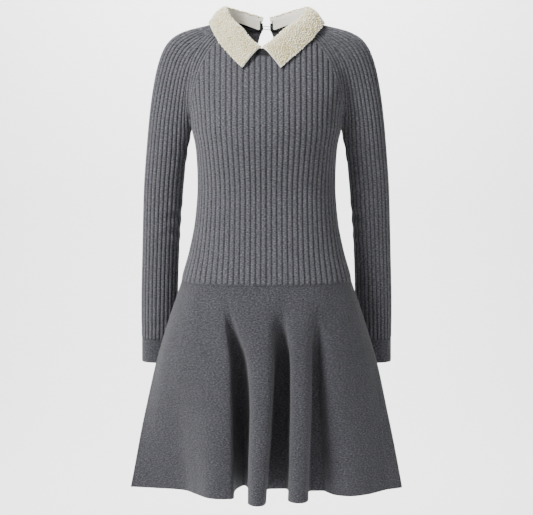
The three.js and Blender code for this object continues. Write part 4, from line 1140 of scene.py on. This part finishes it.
def bead_collar(name, leaf, spacing, size, seed, material):
    """Pearls sewn over the leaf's upper face and edges, by Geometry Nodes."""
    tree = bpy.data.node_groups.new(name + " nodes", "GeometryNodeTree")
    face = tree.interface
    face.new_socket("Geometry", in_out="INPUT", socket_type="NodeSocketGeometry")
    for label, value in (("Spacing", spacing), ("Bead radius", size)):
        socket = face.new_socket(label, in_out="INPUT", socket_type="NodeSocketFloat")
        socket.default_value = value
    face.new_socket("Geometry", in_out="OUTPUT", socket_type="NodeSocketGeometry")

    def add(kind, **inputs):
        node = tree.nodes.new(kind)
        for key, value in inputs.items():
            socket = node.inputs[key.replace("_", " ")]
            if isinstance(value, bpy.types.NodeSocket):
                tree.links.new(value, socket)
            else:
                socket.default_value = value
        return node

    group_in = tree.nodes.new("NodeGroupInput")
    group_out = tree.nodes.new("NodeGroupOutput")
    scatter = tree.nodes.new("GeometryNodeDistributePointsOnFaces")
    scatter.distribute_method = "POISSON"
    tree.links.new(group_in.outputs["Geometry"], scatter.inputs["Mesh"])
    tree.links.new(group_in.outputs["Spacing"], scatter.inputs["Distance Min"])
    scatter.inputs["Density Max"].default_value = 4.0e5
    scatter.inputs["Seed"].default_value = seed
    bead = add("GeometryNodeMeshIcoSphere", Radius=group_in.outputs["Bead radius"], Subdivisions=2)
    smooth = add("GeometryNodeSetShadeSmooth", Geometry=bead.outputs["Mesh"])
    scale = tree.nodes.new("FunctionNodeRandomValue")
    scale.data_type = "FLOAT"
    scale.inputs[2].default_value = 0.74
    scale.inputs[3].default_value = 1.18
    scale.inputs["Seed"].default_value = seed + 1
    tint = tree.nodes.new("FunctionNodeRandomValue")
    tint.data_type = "FLOAT"
    tint.inputs["Seed"].default_value = seed + 2
    place = tree.nodes.new("GeometryNodeInstanceOnPoints")
    tree.links.new(scatter.outputs["Points"], place.inputs["Points"])
    tree.links.new(smooth.outputs["Geometry"], place.inputs["Instance"])
    tree.links.new(scatter.outputs["Rotation"], place.inputs["Rotation"])
    tree.links.new(scale.outputs[1], place.inputs["Scale"])
    store = tree.nodes.new("GeometryNodeStoreNamedAttribute")
    store.data_type = "FLOAT"
    store.domain = "INSTANCE"
    store.inputs["Name"].default_value = "tint"
    tree.links.new(place.outputs["Instances"], store.inputs["Geometry"])
    tree.links.new(tint.outputs[1], store.inputs["Value"])
    realize = add("GeometryNodeRealizeInstances", Geometry=store.outputs["Geometry"])
    paint = add("GeometryNodeSetMaterial", Geometry=realize.outputs["Geometry"], Material=material)
    tree.links.new(paint.outputs["Geometry"], group_out.inputs["Geometry"])

    carrier = bpy.data.objects.new(name + " carrier", leaf)
    bpy.context.scene.collection.objects.link(carrier)
    modifier = carrier.modifiers.new("beads", "NODES")
    modifier.node_group = tree
    result = carrier.evaluated_get(bpy.context.evaluated_depsgraph_get())
    mesh = bpy.data.meshes.new_from_object(result)
    bpy.data.objects.remove(carrier)
    return mesh


def sewing_face(leaf, side):
    """The face of the leaf that carries pearls, lifted so that they sit half sunk in the cloth."""
    stations = leaf.outer.shape[1]
    margin = int(round(0.006 * stations))
    columns = slice(0, stations - margin) if side > 0 else slice(margin, stations)
    cloth = leaf.outer[3:, columns]
    lift = unit(cloth - leaf.inner[3:, columns])
    face = cloth + 0.6 * lift
    rows, columns = face.shape[:2]
    index = np.arange(rows * columns).reshape(rows, columns)
    corners = (index[:-1, :-1], index[:-1, 1:], index[1:, 1:], index[1:, :-1])
    quads = np.stack([corner.ravel() for corner in corners], axis=1)
    mesh = bpy.data.meshes.new("sewing face")
    mesh.from_pydata((face.reshape(-1, 3) * MM).tolist(), [], quads.tolist())
    return mesh


def bent_wire(name, rows, height, radius, material, node):
    """A wire in a long U: rows of (x, y, rise) for its upper half, mirrored below."""
    upper = [(x, y, height + rise) for x, y, rise in rows]
    lower = [(x, y, height - rise) for x, y, rise in rows[:-1]]
    path = upper + lower[::-1]
    curve = bpy.data.curves.new(name, "CURVE")
    curve.dimensions = "3D"
    curve.bevel_depth = radius * MM
    curve.bevel_resolution = 4
    curve.resolution_u = 8
    curve.use_fill_caps = True
    spline = curve.splines.new("BEZIER")
    spline.bezier_points.add(len(path) - 1)
    for point, place in zip(spline.bezier_points, path):
        point.co = [value * MM for value in place]
        point.handle_left_type = point.handle_right_type = "AUTO"
    drawn = bpy.data.objects.new(name + " path", curve)
    bpy.context.scene.collection.objects.link(drawn)
    mesh = bpy.data.meshes.new_from_object(drawn.evaluated_get(bpy.context.evaluated_depsgraph_get()))
    bpy.data.objects.remove(drawn)
    mesh.shade_smooth()
    return add_piece(name, mesh, material, node)


# Wool colours, linear
bodice_wool = knit_material("ribbed melange wool", (0.192, 0.192, 0.216, 1), (0.111, 0.111, 0.127, 1), (0.057, 0.057, 0.065, 1))
skirt_wool = knit_material("plain melange wool", (0.120, 0.120, 0.136, 1), (0.068, 0.068, 0.079, 1), (0.036, 0.036, 0.042, 1))
# The neckband wool is near black: partly its own dark colour, partly painted shade under the collar and inside the
# back neck
neckband_wool_with_painted_shade = knit_material("neckband wool with painted shade", (0.036, 0.036, 0.04, 1), (0.02, 0.02, 0.023, 1), (0.011, 0.011, 0.013, 1))
ivory = cloth_material("ivory collar cloth", (0.86, 0.81, 0.68, 1), (0.90, 0.87, 0.76, 1))
# The leaf cloth's darker net colour is partly a gold net and partly painted shade between the pearls
net_with_painted_shade = cloth_material("ivory leaf cloth", (0.88, 0.85, 0.74, 1), (0.92, 0.90, 0.82, 1), (0.66, 0.58, 0.36, 1))
pearl = pearl_material()
wire = wire_material()

front_half, _ = bodice_half("front", 100)
bodice_front = wall_object("knit_bodice_front", [front_half.mirrored().joined(front_half)],
                           bodice_wool, "bodice_front", inner_step=5)

back_half, heights = bodice_half("back", 104, slit_z=KEYHOLE_FOOT_Z)
slit_row = int(np.argmin(np.abs(heights[:, 0] - KEYHOLE_FOOT_Z)))
bodice_back = wall_object("knit_bodice_back", [back_half.reversed(), back_half.mirrored().reversed()],
                          bodice_wool, "bodice_back", slit_row=slit_row, inner_step=5)

right_sleeve = sleeve_grids()
right_cuff = cuff_grids()
for side, word in ((-1, "right"), (1, "left")):
    grids = [grid if side < 0 else grid.mirrored() for grid in (right_sleeve, right_cuff)]
    sleeve_piece = wall_object("knit_sleeve_" + word, grids[:1], bodice_wool, "sleeve_" + word,
                               closed_rows=SLEEVE_TUBE_ROWS - 1, inner_step=5)
    cuff_piece = wall_object("knit_cuff_" + word, grids[1:], skirt_wool, "cuff_" + word, closed_rows=CUFF_ROWS)

side_left, whole_hem = fold_lines.side_left, fold_lines.whole
skirt_front = wall_object("knit_skirt_front", [skirt_grid(0, side_left)], skirt_wool, "skirt_front",
                          inner_step=3)
skirt_back = wall_object("knit_skirt_back", [skirt_grid(side_left, whole_hem)], skirt_wool, "skirt_back",
                         inner_step=3)
band = wall_object("knit_neckband", [neckband_grids()], neckband_wool_with_painted_shade, "neckband")

for side, word in ((-1, "right"), (1, "left")):
    grid = collar_grid(side)
    leaf = wall_object("collar_leaf_" + word, [grid], net_with_painted_shade, "collar_" + word)
    stand = wall_object("collar_stand_" + word, [stand_grids(side)], ivory, "collar_stand_" + word)
    beads = bead_collar("pearls " + word, sewing_face(grid, side), 3.2 * MM, 1.6 * MM, 7 + side, pearl)
    pearls = add_piece("collar_pearls_" + word, beads, pearl)

FASTENER_HEIGHT = 3.3
bent_wire("wire_eye", ((13, 60.2, 2.1), (6, 60.2, 2.1), (-6, 60.2, 2.1), (-8.2, 60.2, 0)),
          FASTENER_HEIGHT, 0.65, wire, "back_eye")
bent_wire("wire_hook", ((-15, 60.2, 1.1), (-11, 60.6, 1.1), (-8.6, 62, 1), (-6.8, 61.8, 0.8), (-5.9, 60.6, 0)),
          FASTENER_HEIGHT, 0.55, wire, "back_hook")


# Studio: one sheet that runs from the floor up behind the dress, far enough to stay shadowless
def studio():
    material = stage_material("white paper", (0.9, 0.9, 0.9, 1))
    profile = [(-4.0, 0.0), (2.2, 0.0)]
    profile += [(2.2 + 0.9 * math.sin(a), 0.9 - 0.9 * math.cos(a)) for a in np.linspace(0.1, math.pi / 2, 14)]
    profile += [(3.1, 3.6)]
    mesh = bpy.data.meshes.new("studio sheet")
    corners = [(x, y, z - 1.35) for y, z in profile for x in (-7.0, 7.0)]
    faces = [(2 * i, 2 * i + 1, 2 * i + 3, 2 * i + 2) for i in range(len(profile) - 1)]
    mesh.from_pydata(corners, [], faces)
    mesh.materials.append(material)
    mesh.shade_smooth()
    sheet = bpy.data.objects.new("studio_sheet", mesh)
    bpy.context.scene.collection.objects.link(sheet)


def soft_light(name, place, aim, size, power):
    light = bpy.data.lights.new(name, "AREA")
    light.shape = "DISK"
    light.size = size
    light.energy = power
    lamp = bpy.data.objects.new(name, light)
    bpy.context.scene.collection.objects.link(lamp)
    lamp.location = place
    towards = [a - p for a, p in zip(aim, place)]
    flat = math.hypot(towards[0], towards[1])
    lamp.rotation_euler = (math.atan2(flat, -towards[2]), 0, math.atan2(-towards[0], towards[1]))


studio()
soft_light("key", (-1.55, -1.58, 1.5), (0, 0, -0.15), 0.9, 150)
soft_light("fill", (1.8, -2.6, 0.5), (0, 0, -0.3), 2.0, 8)
soft_light("paper light", (0, 1.2, 1.6), (0, 3.0, -0.4), 1.5, 270)

world = bpy.data.worlds.new("studio air")
bpy.context.scene.world = world
world.use_nodes = True
world.node_tree.nodes["Background"].inputs["Color"].default_value = (1, 1, 1, 1)
world.node_tree.nodes["Background"].inputs["Strength"].default_value = 0.36

camera_data = bpy.data.cameras.new("camera")
camera_data.lens = 86.3
camera_data.sensor_width = 36
camera = bpy.data.objects.new("camera", camera_data)
bpy.context.scene.collection.objects.link(camera)
camera.location = (0, -2.3, -0.19)
camera.rotation_euler = (math.radians(90 - 5.5), 0, 0)
bpy.context.scene.camera = camera
